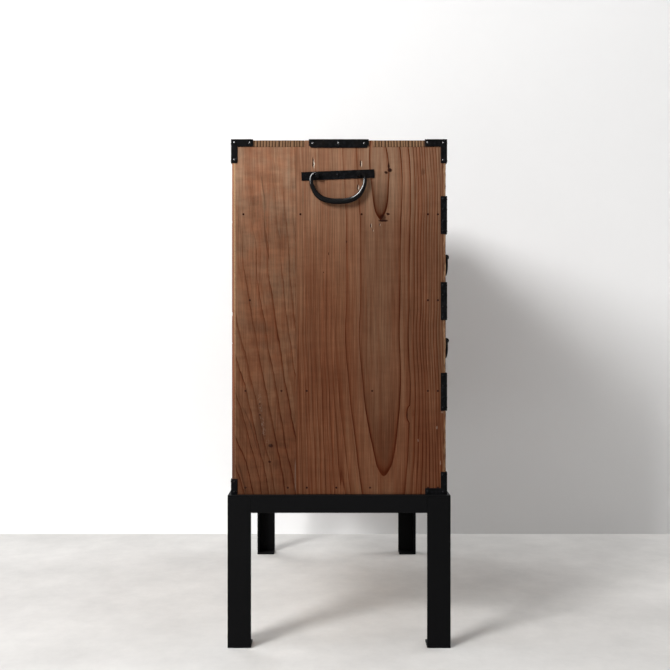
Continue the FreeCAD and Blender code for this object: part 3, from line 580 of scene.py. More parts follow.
def paint_wood(r, phase, width, along, colours, fade=None, contrast=1.0, tone=None, olive=None, marks=None,
               worn=None, seed=0.0, relief=0.35, strands=1.0, planed=1.0, plain_end=False):
    """Rings, fibres, ageing, painted shade and wear of a cedar board on a recipe that has its ring count.

    phase counts years of growth and width is a year's growth in mm; along is the grain's axis;
    fade goes from 0, deep, to 1, pale, and paints shade as well as ageing; contrast is how bold the rings
    are; tone darkens and olive turns the red brown to a grey brown; marks are stains and dents, with
    painted shade inside the dents, and pale marks with painted highlights beside dents and along a seam;
    worn bares the wood, and on the side's rear arris also paints a highlight; relief is the surface's depth
    in mm; strands and planed are how much the strands and the plane's cross ripples show; plain_end leaves
    the rings off the sawn ends.
    """
    def grained(across_scale, along_scale, detail, shift, roughness=0.6):
        return r.speckle(grain_scales(along, across_scale, along_scale), detail, roughness, seed + shift)

    chance = r.add("ShaderNodeTexWhiteNoise", None, r.plus(r.calc("FLOOR", phase), seed + 0.5),
                   noise_dimensions="1D").outputs[0]
    late, line = ring_marks(r, phase, width, contrast, chance, seed)
    fibre = grained(1050.0, 16.0, 3.0, 0)
    strand = grained(330.0, 7.0, 2.0, 5)
    streak = grained(120.0, 3.0, 2.0, 7)
    patch = r.speckle([9.0, 9.0, 6.0], 3.0, 0.55, seed + 3)
    ripples = grained(22.0, 95.0, 4.0, 13, 0.62)
    ringlet = r.add("ShaderNodeTexNoise", r.vector(r.times(phase, 3.3), r.times(r.axes[along], 3.0), seed),
                    None, 1.0, 2.0, 0.6).outputs[0]
    colour = r.mix(late, colours.early_wood, colours.late_wood)
    for amount, other in (
            (r.times(r.span(chance, 0.35, 0.9), 0.16), colours.red_band),
            (r.span(streak, 0.4, 0.7, 0, 0.28), colours.red_band),
            (r.span(ringlet, 0.45, 0.75, 0, 0.5), colours.late_wood),
            (r.span(strand, 0.52, 0.70, 0, 0.35 * strands), colours.late_wood),
            (r.span(strand, 0.46, 0.32, 0, 0.30 * strands), colours.pale_streak),
            (r.span(patch, 0.45, 0.75, 0, 0.45), colours.old_wood)):
        colour = r.mix(amount, colour, other)
    colour = r.mix(line, colour, r.tinted(colour, RING_END))
    grey = r.times(r.span(fibre, 0.25, 0.75, 0.66, 1.30),
                   r.span(ripples, 0.35, 0.65, 1 - 0.05 * planed, 1 + 0.05 * planed))
    if tone is not None:
        grey = r.times(grey, tone)
    colour = r.shaded(colour, grey)
    if olive is not None:
        colour = r.mix(olive, r.tinted(colour, (1.04, 0.95, 0.90)), r.tinted(colour, (0.97, 1.07, 1.12)))
    # The fade paints shade as well as ageing: the wood darkens low down and towards the front, away from the
    # light at the upper left.
    if fade is not None:
        colour = r.mix(fade, r.tinted(colour, DEEP_AND_SHADED), colour)
    facing = r.add("ShaderNodeSeparateXYZ", r.facing).outputs[AXES.index(along)]
    end = r.span(r.calc("ABSOLUTE", facing), 0.6, 0.8)
    colour = r.mix(end, colour, sawn_end(r, phase, colours, seed, plain_end))
    height = r.times(r.plus(line, late), 0.5)
    height = r.calc("MULTIPLY_ADD", fibre, 0.45, height)
    height = r.calc("MULTIPLY_ADD", ripples, 0.9, height)
    if marks:
        # The dark mask holds stains, knots and the painted shade inside dents; the pale mask holds lichen,
        # flecks and painted highlights beside dents and along a seam.
        stain_and_shade, dent, pale_mark_and_highlight = marks
        colour = r.mix(stain_and_shade, colour, STAIN_AND_SHADE)
        colour = r.mix(pale_mark_and_highlight, colour, colours.pale_mark_and_highlight)
        height = r.calc("MULTIPLY_ADD", dent, -2.2, height)
    # Bare wood on worn arrises; along the side's rear arris it is also a painted highlight.
    if worn is not None:
        colour = r.mix(worn, colour, colours.bare_wood_and_highlight)
    return r.surface(colour, r.span(fibre, 0.2, 0.8, 0.55, 0.72), 0.0, height, relief, 0.7)


def cedar(name, colours, along, across, deep, heart, ring, lean=0.0, wander=5.0, uneven=2.6, seed=0.0,
          **wood):
    """Cedar sawn from a log whose heart lies at (across, deep), with rings a given width apart.

    lean slants the log to the board, wander is how far it bends in mm and uneven how much its years differ.
    """
    r = Recipe(name)
    drift = r.speckle(grain_scales(along, 14.0, 2.2), 2.0, 0.5, seed + 21)
    drift = r.span(drift, 0, 1, -wander * MM, wander * MM)
    sideways = r.plus(r.calc("SUBTRACT", r.axes[across], heart[0]), drift)
    inwards = r.calc("SUBTRACT", r.axes[deep], heart[1])
    radius = r.calc("SQRT", r.plus(r.times(sideways, sideways), r.times(inwards, inwards)))
    years = r.calc("DIVIDE", r.calc("MULTIPLY_ADD", r.axes[along], lean, radius), ring)
    phase = r.calc("MULTIPLY_ADD", luck_of(r, years, seed, 0.31), uneven, years)
    return paint_wood(r, phase, ring / MM, along, colours, seed=seed, **wood)


def age(r, front=0.42):
    """How pale a side is painted: from 0, deep brown low at the front, to 1 high at the back. Partly ageing,
    partly painted shade: the wood is darker where less of the light from the upper left falls.
    """
    up = r.curve(r.z, [(0.258, 0.0), (0.34, 0.01), (0.45, 0.05), (0.56, 0.14), (0.612, 0.21), (0.65, 0.27),
                       (0.706, 0.38), (0.75, 0.58), (0.80, 0.88), (0.868, 1.1)])
    return r.times(up, r.span(r.y, -0.183, 0.178, front, 1.0))


def front_rings(r):
    """How far each point lies from the front board's heart in rings' measure, and its year."""
    waver = r.span(r.speckle([20.0, 60.0, 9.0], 2.0, 0.5, 4.0), 0, 1, -1.6 * MM, 1.6 * MM)
    heart = r.curve(r.z, [
        (0.258, -0.0790), (0.292, -0.0777), (0.333, -0.0767), (0.390, -0.0745), (0.458, -0.0722),
        (0.503, -0.0694), (0.539, -0.0682), (0.581, -0.0695), (0.680, -0.0700), (0.764, -0.0708),
        (0.816, -0.0688), (0.868, -0.0650)])
    kink = r.spots(-4.2 * MM, (-117.0, 398.5, 9, 12, 0.95))
    offset = r.times(r.calc("SUBTRACT", heart, r.plus(r.y, waver, kink)), 1000.0)
    closing = r.curve(r.z, [
        (0.258, 1850), (0.2632, 1801), (0.2923, 1553), (0.301, 1474), (0.313, 1342), (0.333, 1187),
        (0.359, 1003), (0.390, 789), (0.415, 605), (0.458, 441), (0.503, 325), (0.581, 322),
        (0.680, 325), (0.722, 300), (0.730, 290), (0.7396, 239), (0.7482, 186), (0.7682, 115), (0.7911, 64),
        (0.816, 0), (0.868, 140)])
    reach = r.curve(offset, [
        (-160, 0.0), (-120, 0.02), (-94, 0.3), (-76, 0.75), (-61, 1.37), (-38, 1.22), (-15, 1.0), (20, 1.0),
        (34, 0.94), (53, 0.85), (65, 0.58), (75, 0.32), (94, 0.1), (120, 0.0)])
    square = r.calc("MULTIPLY_ADD", closing, reach, r.times(offset, offset))
    ring = r.times(r.calc("SQRT", r.most(square, 0.0)), r.calc("SIGN", offset))
    phase = r.curve(ring, [
        (-160, 15.6), (-150, 14), (-141.6, 13), (-130.8, 12), (-125.9, 11), (-119, 10), (-111, 9),
        (-103.3, 8), (-96.4, 7), (-91.7, 6), (-83.8, 5), (-77.5, 4), (-61.6, 3), (-39.4, 2), (-17.1, 1),
        (0, 0.35), (17.1, 1), (39.4, 2), (53.5, 3), (61.5, 4), (66.8, 5), (72, 6), (76, 7), (80.5, 8),
        (85.3, 9), (89.5, 10), (94, 11), (99, 12), (104, 13), (109, 14), (114, 15), (120, 16.2)], "VECTOR")
    return ring, r.plus(phase, 0.002)


def front_marks(r):
    """Stains and dents of the front board, with painted shade inside the dents and a painted highlight on
    each dent's lit wall.
    """
    # Dents: painted dark with the knots below, as the shade inside each dent, and sunk in the relief.
    dents = r.spots(
        1.0, (44.6, 827.2, 1.2, 9.2, 0.8), (-36.7, 826.5, 1.2, 5.6, 0.8), (-31.8, 785.5, 1.0, 5.2, 0.4),
        (-54.3, 720.0, 0.8, 3.6), (-69.0, 721.8, 0.7, 2.4), (-57.5, 712.0, 0.7, 2.0))
    knots = r.most(
        r.spots(1.0, (-86.8, 815.0, 3.9, 3.4), (-80.5, 811.0, 2.8, 2.2), (-85.0, 820.5, 1.8, 7.0, 0.9),
                (-83.8, 740.0, 2.8, 2.3), (-75.5, 728.5, 7.6, 2.0), (17.6, 672.0, 0.6, 2.6),
                (-12.8, 692.5, 0.7, 2.6), (26.1, 640.0, 1.0, 1.0)),
        r.spots(0.75, (-75.2, 734.0, 4.5, 5.5, 0.9)),
        r.spots(0.6, (-116.3, 395.5, 1.4, 5.5, 0.9)),
        r.spots(0.32, (-143.5, 812.0, 3.4, 5.5, 0.95)),
        # A darker, mottled strip just inside the front arris.
        r.times(r.span(r.y, -0.1755, -0.1785),
                r.span(r.speckle([300.0, 300.0, 45.0], 3.0), 0.5, 0.62, 0, 0.3)))
    # Painted highlights on the lit wall beside each dent, and a few faint pale flecks.
    dent_highlights_and_flecks = r.most(
        r.spots(1.0, (42.6, 825.8, 0.7, 7.4, 0.7), (-38.6, 825.4, 0.7, 4.6, 0.7),
                (-33.6, 785.0, 0.7, 4.4, 0.7)),
        r.spots(0.35, (-55.7, 720.0, 0.7, 3.6), (-70.2, 721.8, 0.6, 2.0), (-58.7, 711.5, 0.6, 2.0)),
        r.spots(0.13, (-176.2, 401.0, 2.0, 1.6, 0.9), (-167.3, 374.6, 1.3, 2.4, 0.9),
                (-135.2, 353.0, 0.9, 2.6, 0.9), (-173.5, 314.0, 1.0, 3.6, 0.9)))
    return r.times(0.94, r.most(knots, dents)), dents, dent_highlights_and_flecks


def front_tone(r, ring):
    """Darker wood in the tongues' middles, and fine streaks towards the back board."""
    heartwood = r.span(r.calc("ABSOLUTE", ring), 18.5, 15.0, kind="SMOOTHSTEP")
    tip = r.span(r.z, 0.815, 0.768, 1.0, 0.64)
    tone = r.span(r.times(heartwood, r.calc("GREATER_THAN", r.z, 0.62)), 0.0, 1.0, 1.0, tip)
    tongue = r.times(r.span(r.calc("ABSOLUTE", ring), 39.0, 35.0), r.span(r.z, 0.47, 0.36))
    fine = r.span(r.speckle([360.0, 360.0, 3.0], 1.0, 0.5, 27.0), 0.40, 0.60, 0.90, 1.08)
    return r.times(tone, r.span(tongue, 0.0, 1.0, 1.0, 0.74),
                   r.span(r.span(ring, -60.0, -76.0), 0.0, 1.0, 1.0, fine))


def front_boldness(r, ring):
    """How bold the front board's rings are: boldest round the heart, faint high up by the back board."""
    bold = r.curve(r.calc("ABSOLUTE", ring), [
        (0, 1.25), (18, 1.25), (24, 1.1), (60, 1.05), (66, 0.82), (120, 0.74)])
    faint = r.curve(r.z, [
        (0.258, 0.95), (0.42, 0.85), (0.50, 0.55), (0.60, 0.3), (0.70, 0.16), (0.868, 0.14)])
    middling = r.span(r.span(ring, -40.0, -36.0), 0.0, 1.0, r.span(faint, 0.14, 0.95, 0.5, 1.0), 1.0)
    return r.times(bold, r.span(r.span(ring, -76.0, -64.0), 0.0, 1.0, faint, middling))


def side_front_wood(colours):
    """The wide front board of a side: a tongue of wide rings round its heart, straight fine rings beside."""
    r = Recipe("side_front_cedar")
    ring, phase = front_rings(r)
    tone = front_tone(r, ring)
    width = r.curve(ring, [
        (-160, 9), (-78, 7), (-77, 15), (-62, 16), (-61, 22), (-18, 22), (-17, 26), (17, 26), (18, 22),
        (39, 22), (40, 14.5), (53, 14), (54, 8.5), (61, 8), (62, 5.2), (120, 4.8)], "VECTOR")
    olive = r.times(r.curve(r.y, [
        (-0.184, 1.0), (-0.14, 0.7), (-0.115, 0.75), (-0.075, 1.0), (-0.042, 0.9), (-0.03, 0.35), (0.01, 0.0),
        (0.05, 0.1), (0.074, 0.35)]), r.span(r.z, 0.36, 0.52, 0.3, 1.0))
    olive = r.most(olive, r.times(r.span(r.z, 0.60, 0.76, 0.0, 0.5), r.span(tone, 0.7, 0.9)))
    chafed = r.speckle([260.0, 260.0, 60.0], 4.0, 0.65, 71.0)
    worn = r.times(r.span(r.y, -0.1770, -0.1805), r.span(chafed, 0.42, 0.62, 0.06, 0.5),
                   r.span(r.z, 0.30, 0.80, 0.5, 1.0))
    return paint_wood(r, phase, width, "z", colours, age(r), contrast=front_boldness(r, ring), tone=tone,
                      olive=olive, marks=front_marks(r), worn=worn)


def back_marks(r):
    """Stains and a trace of lichen on the back board, and a painted highlight, partly bare wood, along the
    lower seam.
    """
    stain_and_shade = r.times(0.85, r.most(
        r.spots(1.0, (116.8, 344.0, 4.3, 3.4, 0.8), (118.5, 316.0, 2.4, 2.0), (136.0, 415.0, 1.4, 1.6),
                (135.2, 396.5, 1.8, 1.3)),
        r.spots(0.26, (120.0, 340.0, 15, 13, 0.98), (143.0, 762.0, 8, 8, 0.98)),
        r.spots(0.34, (132.6, 331.8, 7, 9, 0.98)),
        r.spots(0.30, (106.5, 311.8, 6, 7, 0.98), (133.0, 370.0, 9, 46, 0.98)),
        r.spots(0.24, (95.0, 344.0, 9, 5, 0.98), (95.0, 710.0, 7, 34, 0.98)),
        r.spots(0.22, (142.0, 548.0, 22, 12, 0.98)),
        r.times(0.55, r.thread([(0.256, 0.158), (0.290, 0.1655), (0.320, 0.1745)], 2.2 * MM)),
        r.times(0.45, r.thread([(0.325, 0.1340), (0.344, 0.1415), (0.376, 0.1500), (0.392, 0.1560),
                                (0.412, 0.1660)], 1.6 * MM)),
        r.times(0.42, r.thread([(0.656, 0.1180), (0.684, 0.1235), (0.706, 0.1266), (0.732, 0.1272),
                                (0.757, 0.1268), (0.783, 0.1300), (0.812, 0.1345)], 1.5 * MM))))
    lichen = r.thread([(0.340, 0.1190), (0.3516, 0.1218), (0.3607, 0.1280), (0.3812, 0.1302),
                       (0.3965, 0.1341), (0.4222, 0.1356), (0.436, 0.1362)], 4.5 * MM)
    lichen = r.times(lichen, r.span(r.speckle([420.0, 420.0, 260.0], 3.0, 0.6, 51.0), 0.5, 0.66, 0, 0.1))
    # A pale line along the lower seam: a painted highlight on its arris, partly bare wood.
    seam = r.thread([(0.262, 0.0744), (0.290, 0.0750), (0.322, 0.0745)], 1.0 * MM)
    return stain_and_shade, 0.0, r.most(lichen, r.times(0.11, seam))


def side_back_wood(colours):
    """The narrow back board of a side: rings that run out slantwise to its front."""
    r = Recipe("side_back_cedar")
    waver = r.span(r.speckle([20.0, 45.0, 16.0], 4.0, 0.6, 9.0), 0, 1, -5.0 * MM, 5.0 * MM)
    slant = r.times(r.curve(r.z, [
        (0.258, 102), (0.306, 88), (0.339, 74.4), (0.390, 59), (0.441, 44.5), (0.492, 30.8), (0.544, 18.8),
        (0.595, 9.4), (0.646, 1.7), (0.680, 0), (0.740, -9), (0.800, -16), (0.868, -21)]),
        r.span(r.y, 0.085, 0.160, 0.68, 1.08))
    ring = r.calc("SUBTRACT", r.times(r.plus(r.y, waver), -1000.0), slant)
    phase = r.curve(ring, [
        (-290, -1), (-270, 0), (-248.9, 1), (-225.8, 2), (-207, 3), (-190.7, 4), (-163.4, 5), (-142, 6),
        (-120.6, 7), (-99.3, 8), (-85.6, 9), (-72, 10), (-58, 11), (-45, 12)], "VECTOR")
    calm = r.curve(r.z, [(0.258, 0.85), (0.45, 0.8), (0.60, 0.62), (0.70, 0.36), (0.78, 0.14), (0.868, 0.10)])
    # The rear arris: bare wood and a painted highlight where it catches the light, stronger higher up.
    worn = r.times(r.span(r.y, 0.1764, 0.1772), r.span(r.z, 0.30, 0.56, 0.12, 0.42))
    blotch = r.speckle([40.0, 40.0, 60.0], 3.0, 0.6, 31.0)
    # Blotches of tone, and painted shade: darker low down.
    tone = r.times(r.span(blotch, 0.35, 0.65, 0.90, 1.07), r.span(r.z, 0.30, 0.50, 0.84, 1.0))
    olive = r.span(r.speckle([22.0, 22.0, 26.0], 3.0, 0.6, 41.0), 0.38, 0.62, 0.0, 0.8)
    olive = r.times(olive, r.span(r.z, 0.35, 0.60, 0.35, 1.0))
    return paint_wood(r, phase, 19.0, "z", colours, age(r), contrast=calm, tone=tone, olive=olive, planed=1.9,
                      marks=back_marks(r), worn=worn, seed=5.0, strands=0.45, relief=0.5)


def iron_look(colours):
    """Blackened iron: hammered, with a brown bloom in its hollows."""
    r = Recipe("black_iron")
    bloom = r.speckle([60.0] * 3, 4.0, 0.6)
    hammer = r.speckle([240.0] * 3, 2.0, 0.5, 3.0)
    grain = r.speckle([1500.0] * 3, 2.0, 0.6, 8.0)
    scale = r.speckle([190.0] * 3, 4.0, 0.7, 15.0)
    colour = r.mix(r.span(bloom, 0.5, 0.75, 0, 0.55), colours.iron, colours.rust)
    colour = r.mix(r.span(scale, 0.5, 0.75, 0, 0.6), colour, colours.scale)
    roughness = r.span(r.plus(bloom, grain), 0.6, 1.4, 0.34, 0.56)
    return r.surface(colour, roughness, 0.02, r.calc("MULTIPLY_ADD", grain, 0.3, hammer), 0.5, 0.5)


def rod_look(colours, name, gloss):
    """Iron rubbed smooth: the handles by hands, the nails by whatever brushed past. Low down it is duller."""
    r = Recipe(name)
    bloom = r.speckle([45.0] * 3, 3.0, 0.6)
    grain = r.speckle([700.0] * 3, 2.0, 0.6, 8.0)
    colour = r.mix(r.span(bloom, 0.5, 0.8, 0, 0.4), colours.iron, colours.rust)
    roughness = r.plus(r.span(grain, 0.3, 0.7, 0.13, 0.23), r.span(r.z, 0.78, 0.70, 0.0, 0.5))
    return r.surface(colour, roughness, gloss, r.plus(grain, bloom), 0.1, 0.4)


def steel_look(colours):
    """Satin black paint on rolled steel."""
    r = Recipe("black_paint")
    orange_peel = r.speckle([900.0] * 3, 2.0, 0.5)
    cloud = r.speckle([9.0] * 3, 3.0, 0.5, 5.0)
    colour = r.mix(r.span(cloud, 0.35, 0.7, 0, 0.3), colours.steel, colours.iron)
    return r.surface(colour, r.span(cloud, 0.3, 0.7, 0.42, 0.52), 0.035, orange_peel, 0.12, 0.35)


def peg_look(colours):
    """End grain of a dark wooden peg."""
    r = Recipe("peg_wood")
    pores = r.speckle([1600.0] * 3, 2.0, 0.6)
    colour = r.mix(r.span(pores, 0.4, 0.7), colours.peg, PEG_PORE)
    return r.surface(colour, r.span(pores, 0.3, 0.7, 0.6, 0.8), 0.02, pores, 0.15, 0.6)


def inside_wood(colours):
    """Bare softwood inside the chest, paler and with faint rings."""
    r = Recipe("inside_softwood")
    fibre = r.speckle([14.0, 60.0, 800.0], 3.0, 0.6)
    height = r.calc("MULTIPLY_ADD", r.y, 0.16, r.calc("MULTIPLY_ADD", r.x, 0.05, r.z))
    height = r.plus(height, r.span(r.speckle([3.0, 5.0, 12.0], 3.0), 0, 1, 0, 0.05))
    years = r.calc("DIVIDE", height, 6.5 * MM)
    ring = r.calc("FRACT", r.calc("MULTIPLY_ADD", luck_of(r, years, 0.0, 0.37), 3.0, years))
    colour = r.mix(r.span(ring, 0.35, 1.0, 0, 0.2), colours.inside_wood, colours.late_wood)
    colour = r.shaded(colour, r.span(fibre, 0.25, 0.75, 0.84, 1.12))
    return r.surface(colour, r.span(fibre, 0.2, 0.8, 0.6, 0.78), 0.25, fibre, 0.3, 0.5)


def plaster_look(name, colour, low, high):
    """A matt pale surface with faint clouds, for the floor and the wall."""
    r = Recipe(name)
    cloud = r.speckle([4.1, 4.7, 4.3], 6.0, 0.68)
    r.feed(r.shader.inputs["Base Color"], r.shaded(colour, r.span(cloud, 0.3, 0.7, low, high)))
    r.shader.inputs["Roughness"].default_value = 0.75
    r.shader.inputs["Specular IOR Level"].default_value = 0.2
    return r


MAKERS = {
    "side_front": side_front_wood, "side_back": side_back_wood, "inside": inside_wood,
    "iron": iron_look, "steel": steel_look, "peg": peg_look,
    "rod": lambda colours: rod_look(colours, "handled_iron", 0.09),
    "nail": lambda colours: rod_look(colours, "nail_iron", 0.28),
    "top": lambda colours: cedar("top_cedar", colours, "x", "y", "z", (0.90, 0.86), 5.2 * MM, seed=2.0,
                                 wander=4.0, uneven=1.2, fade=0.3),
    "rail": lambda colours: cedar("rail_cedar", colours, "x", "z", "y", (0.10, 0.02), 4.2 * MM, seed=6.0),
    "back": lambda colours: cedar("back_cedar", colours, "x", "z", "y", (0.55, 0.12), 5.5 * MM, lean=0.01,
                                  seed=8.0, plain_end=True),
    "upright": lambda colours: cedar("partition_cedar", colours, "z", "x", "y", (0.3, 0.1), 4.0 * MM,
                                     seed=9.0),
}
LOOKS = {}


def look(name):
    """The finish of that name, made when it is first asked for."""
    if name not in LOOKS:
        LOOKS[name] = MAKERS[name](bpy.context.scene.chest_colours)
    return LOOKS[name]


# For each front, how far its log's heart lies behind y = -0.14, and how much its rings lean.
FRONT_LOGS = ((0.022, 0.02), (0.05, -0.015), (0.03, 0.03), (0.06, 0.018), (0.04, -0.025), (0.09, 0.02))


def front_wood(index, middle_z):
    """Each drawer front's own board: straight rings, or a tongue of rings round its heart."""
    depth, lean = FRONT_LOGS[index]
    return cedar("front_cedar_%d" % index, bpy.context.scene.chest_colours, "x", "z", "y",
                 (middle_z, -0.14 + depth), (5.0 + index % 3) * MM, lean=lean, seed=30.0 + 7 * index,
                 wander=9.0)
# ---- Operators ----
class StageOperator(bpy.types.Operator):
    """Sets the floor, the wall, the lights and the camera"""
    bl_idname = "chest.stage"
    bl_label = "Stage"

    wall_place = (0.616, 0, 1.0)
    camera_place = (-2.26, 0.0146, 0.55)
    camera_lens = 58.7
    camera_shift = (0.0067, -0.0148)
    room_seen = 0.84

    def execute(self, context):
        scene = context.scene
        light = scene.chest_light
        self.floor(scene.chest_colours)
        self.wall(scene.chest_colours)
        self.lamp("window", (-3.68, 2.65, 2.66), (0.0, 0.0, 0.56), (1.3, 1.6), light.window)
        gleam = self.lamp("side_window", (-0.75, 1.95, 2.4), (-0.39, 0.0, 0.80), (1.0, 3.1), light.gleam)
        gleam.visible_diffuse = False
        self.lamp("front", (0.95, -2.6, 1.5), (0.0, -0.2, 0.5), (1.6, 1.4), light.front)
        self.lamp("back", (2.4, 1.9, 1.9), (0.3, 0.1, 0.5), (1.8, 1.8), light.back)
        self.room(scene, light.room)
        self.camera(scene)
        scene.view_settings.view_transform = "Standard"
        return {"FINISHED"}

    def floor(self, colours):
        """A wide pale floor that takes the chest's shadow."""
        floor = fresh(bpy.ops.mesh.primitive_grid_add, "floor", x_subdivisions=4, y_subdivisions=4, size=14)
        floor.data.materials.append(plaster_look("floor_finish", colours.floor, 0.84, 1.06).material)

    def wall(self, colours):
        """A wall that only the camera sees, and only from its front."""
        wall = fresh(bpy.ops.mesh.primitive_grid_add, "wall", x_subdivisions=4, y_subdivisions=4, size=2,
                     rotation=(0, -math.pi / 2, 0), location=self.wall_place)
        r = plaster_look("wall_finish", colours.wall, 0.985, 1.0)
        behind = r.add("ShaderNodeNewGeometry").outputs["Backfacing"]
        clear = r.add("ShaderNodeBsdfTransparent").outputs[0]
        either = r.add("ShaderNodeMixShader", behind, r.shader.outputs[0], clear).outputs[0]
        r.feed(r.tree.nodes["Material Output"].inputs["Surface"], either)
        wall.data.materials.append(r.material)
        wall.visible_diffuse = wall.visible_glossy = False
        wall.visible_transmission = wall.visible_shadow = False

    def camera(self, scene):
        """Looks square on at the chest's left side."""
        bpy.ops.object.camera_add(location=self.camera_place, rotation=(math.pi / 2, 0, -math.pi / 2))
        camera = bpy.context.object
        camera.name = "camera"
        camera.data.lens = self.camera_lens
        camera.data.sensor_width = 36
        camera.data.shift_x, camera.data.shift_y = self.camera_shift
        scene.camera = camera

    def lamp(self, name, place, target, size, power):
        turn = (Vector(target) - Vector(place)).to_track_quat("-Z", "Y").to_euler()
        bpy.ops.object.light_add(type="AREA", location=place, rotation=turn)
        lamp = bpy.context.object
        lamp.name = name
        lamp.data.shape = "RECTANGLE"
        lamp.data.size, lamp.data.size_y = size
        lamp.data.energy = power
        return lamp

    def room(self, scene, strength):
        """Even light from all round, which the camera and shiny metal see as a pale room."""
        world = bpy.data.worlds.new("room")
        world.use_nodes = True
        scene.world = world
        nodes, links = world.node_tree.nodes, world.node_tree.links
        ray = nodes.new("ShaderNodeLightPath")
        seen = ray.outputs["Is Camera Ray"]
        for kind in ("Is Glossy Ray", "Is Transmission Ray"):
            either = nodes.new("ShaderNodeMath")
            either.operation = "MAXIMUM"
            links.new(seen, either.inputs[0])
            links.new(ray.outputs[kind], either.inputs[1])
            seen = either.outputs[0]
        level = nodes.new("ShaderNodeMapRange")
        links.new(seen, level.inputs[0])
        level.inputs["To Min"].default_value = strength
        level.inputs["To Max"].default_value = self.room_seen
        background = nodes["Background"]
        background.inputs["Color"].default_value = (1, 1, 1, 1)
        links.new(level.outputs[0], background.inputs["Strength"])


class StandOperator(bpy.types.Operator):
    """Makes the stand of steel angle with its foot pads"""
    bl_idname = "chest.stand"
    bl_label = "Stand"

    def execute(self, context):
        sizes = context.scene.chest_sizes
        for node in [n for n in frame["nodes"] if n.startswith("stand_")]:
            piece = outline_of(node, node.replace("stand_", "steel_"), sizes.steel_edge)
            hang(piece, node, look("steel"))
        return {"FINISHED"}


class SidesOperator(bpy.types.Operator):
    """Makes the two boards of each side, with worn arrises and the finger through the top"""
    bl_idname = "chest.sides"
    bl_label = "Side boards"

    def execute(self, context):
        sizes = context.scene.chest_sizes
        for place, other in (("front", -1), ("back", 1)):
            node = "side_left_%s_board" % place
            low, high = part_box(node)
            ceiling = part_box("top_front_board")[0].z
            piece = self.board(place, low, high, ceiling, sizes)
            hang(piece, node, look("side_" + place))
            right = twin(piece, "right_side_%s_board" % place, mirror=True)
            hang(right, "side_right_%s_board" % place, look("side_" + place))
        return {"FINISHED"}

    def board(self, place, low, high, ceiling, sizes):
        """One board; its outer arrises are worn and its seam is left crisp."""
        body_high = Vector((high.x, high.y, ceiling))
        obj = board("left_side_%s_board" % place, low, body_high, sizes.board_cell)
        if high.z > ceiling + MM:
            self.raise_finger(obj, high, ceiling)
        outer_y = low.y if place == "front" else high.y
        seam_y = high.y if place == "front" else low.y
        outer = [{0: low.x, 1: outer_y}, {0: low.x, 2: low.z}, {1: outer_y, 2: low.z}]
        soften(obj, outer, sizes.arris if place == "front" else sizes.rear_arris)
        soften(obj, [{0: low.x, 1: seam_y}, {0: low.x, 2: ceiling}], sizes.seam, 2)
        group = near_arrises(obj, outer[:1], sizes.arris * 1.2)
        wear = sizes.arris_wear if place == "front" else sizes.rear_arris
        ripple(obj, wear, WEAR_LENGTH, 0.8, vertex_group=group)
        obj.vertex_groups.clear()
        ripple(obj, sizes.board_wave, WAVE_LENGTH, 1.0)
        smooth(obj)
        return obj

    def raise_finger(self, obj, high, ceiling):
        """Raises the wide finger in the board's middle through the top."""
        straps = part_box("top_straps")
        middle = (straps[0].y + straps[1].y) / 2

        def in_finger(face):
            centre = face.calc_center_median()
            return abs(centre.z - ceiling) < 0.01 * MM and abs(centre.y - middle) < FINGER_HALF

        with editing(obj):
            for y in (middle - FINGER_HALF, middle + FINGER_HALF):
                bpy.ops.mesh.select_all(action="SELECT")
                bpy.ops.mesh.bisect(plane_co=(0, y, 0), plane_no=(0, 1, 0))
            pick(obj, "FACE", in_finger)
            bpy.ops.mesh.extrude_region_move(TRANSFORM_OT_translate={"value": (0, 0, high.z - ceiling)})


class CaseOperator(bpy.types.Operator):
    """Makes the top, the back, the rails and the boards inside the case"""
    bl_idname = "chest.case"
    bl_label = "Case boards"

    # Splinters out of the back boards' ends: each one's place, and its radii in mm.
    chips = (
        ((-0.392, 0.1842, 0.5690), (9.0, 4.4, 4.3)), ((-0.392, 0.1838, 0.5190), (6.0, 2.2, 1.7)),
        ((-0.392, 0.1840, 0.7260), (5.0, 1.9, 3.4)), ((0.392, 0.1842, 0.4370), (8.0, 3.2, 4.8)),
        ((0.392, 0.1838, 0.6950), (5.0, 2.1, 2.4)),
    )

    def execute(self, context):
        sizes = context.scene.chest_sizes
        looks = {
            "top_front_board": ("top", sizes.arris), "top_back_board": ("top", sizes.arris),
            "back_boards": ("back", sizes.inner_edge), "front_rails": ("rail", sizes.inner_edge),
            "bottom_board": ("inside", sizes.inner_edge), "dust_boards": ("inside", sizes.inner_edge),
            "partitions": ("upright", sizes.inner_edge),
        }
        for node, (finish, edge) in looks.items():
            piece = outline_of(node, "cedar_" + node, edge)
            if node == "back_boards":
                for place, radii in self.chips:
                    self.chip(piece, place, radii)
            hang(piece, node, look(finish))
        return {"FINISHED"}

    def chip(self, piece, place, radii):
        """Breaks a small splinter out of an edge."""
        cutter = fresh(bpy.ops.mesh.primitive_ico_sphere_add, "chip", subdivisions=2, radius=MM,
                       location=place, scale=radii)
        finish_with(piece, "BOOLEAN", object=cutter, operation="DIFFERENCE", solver="EXACT")
        bpy.data.objects.remove(cutter)


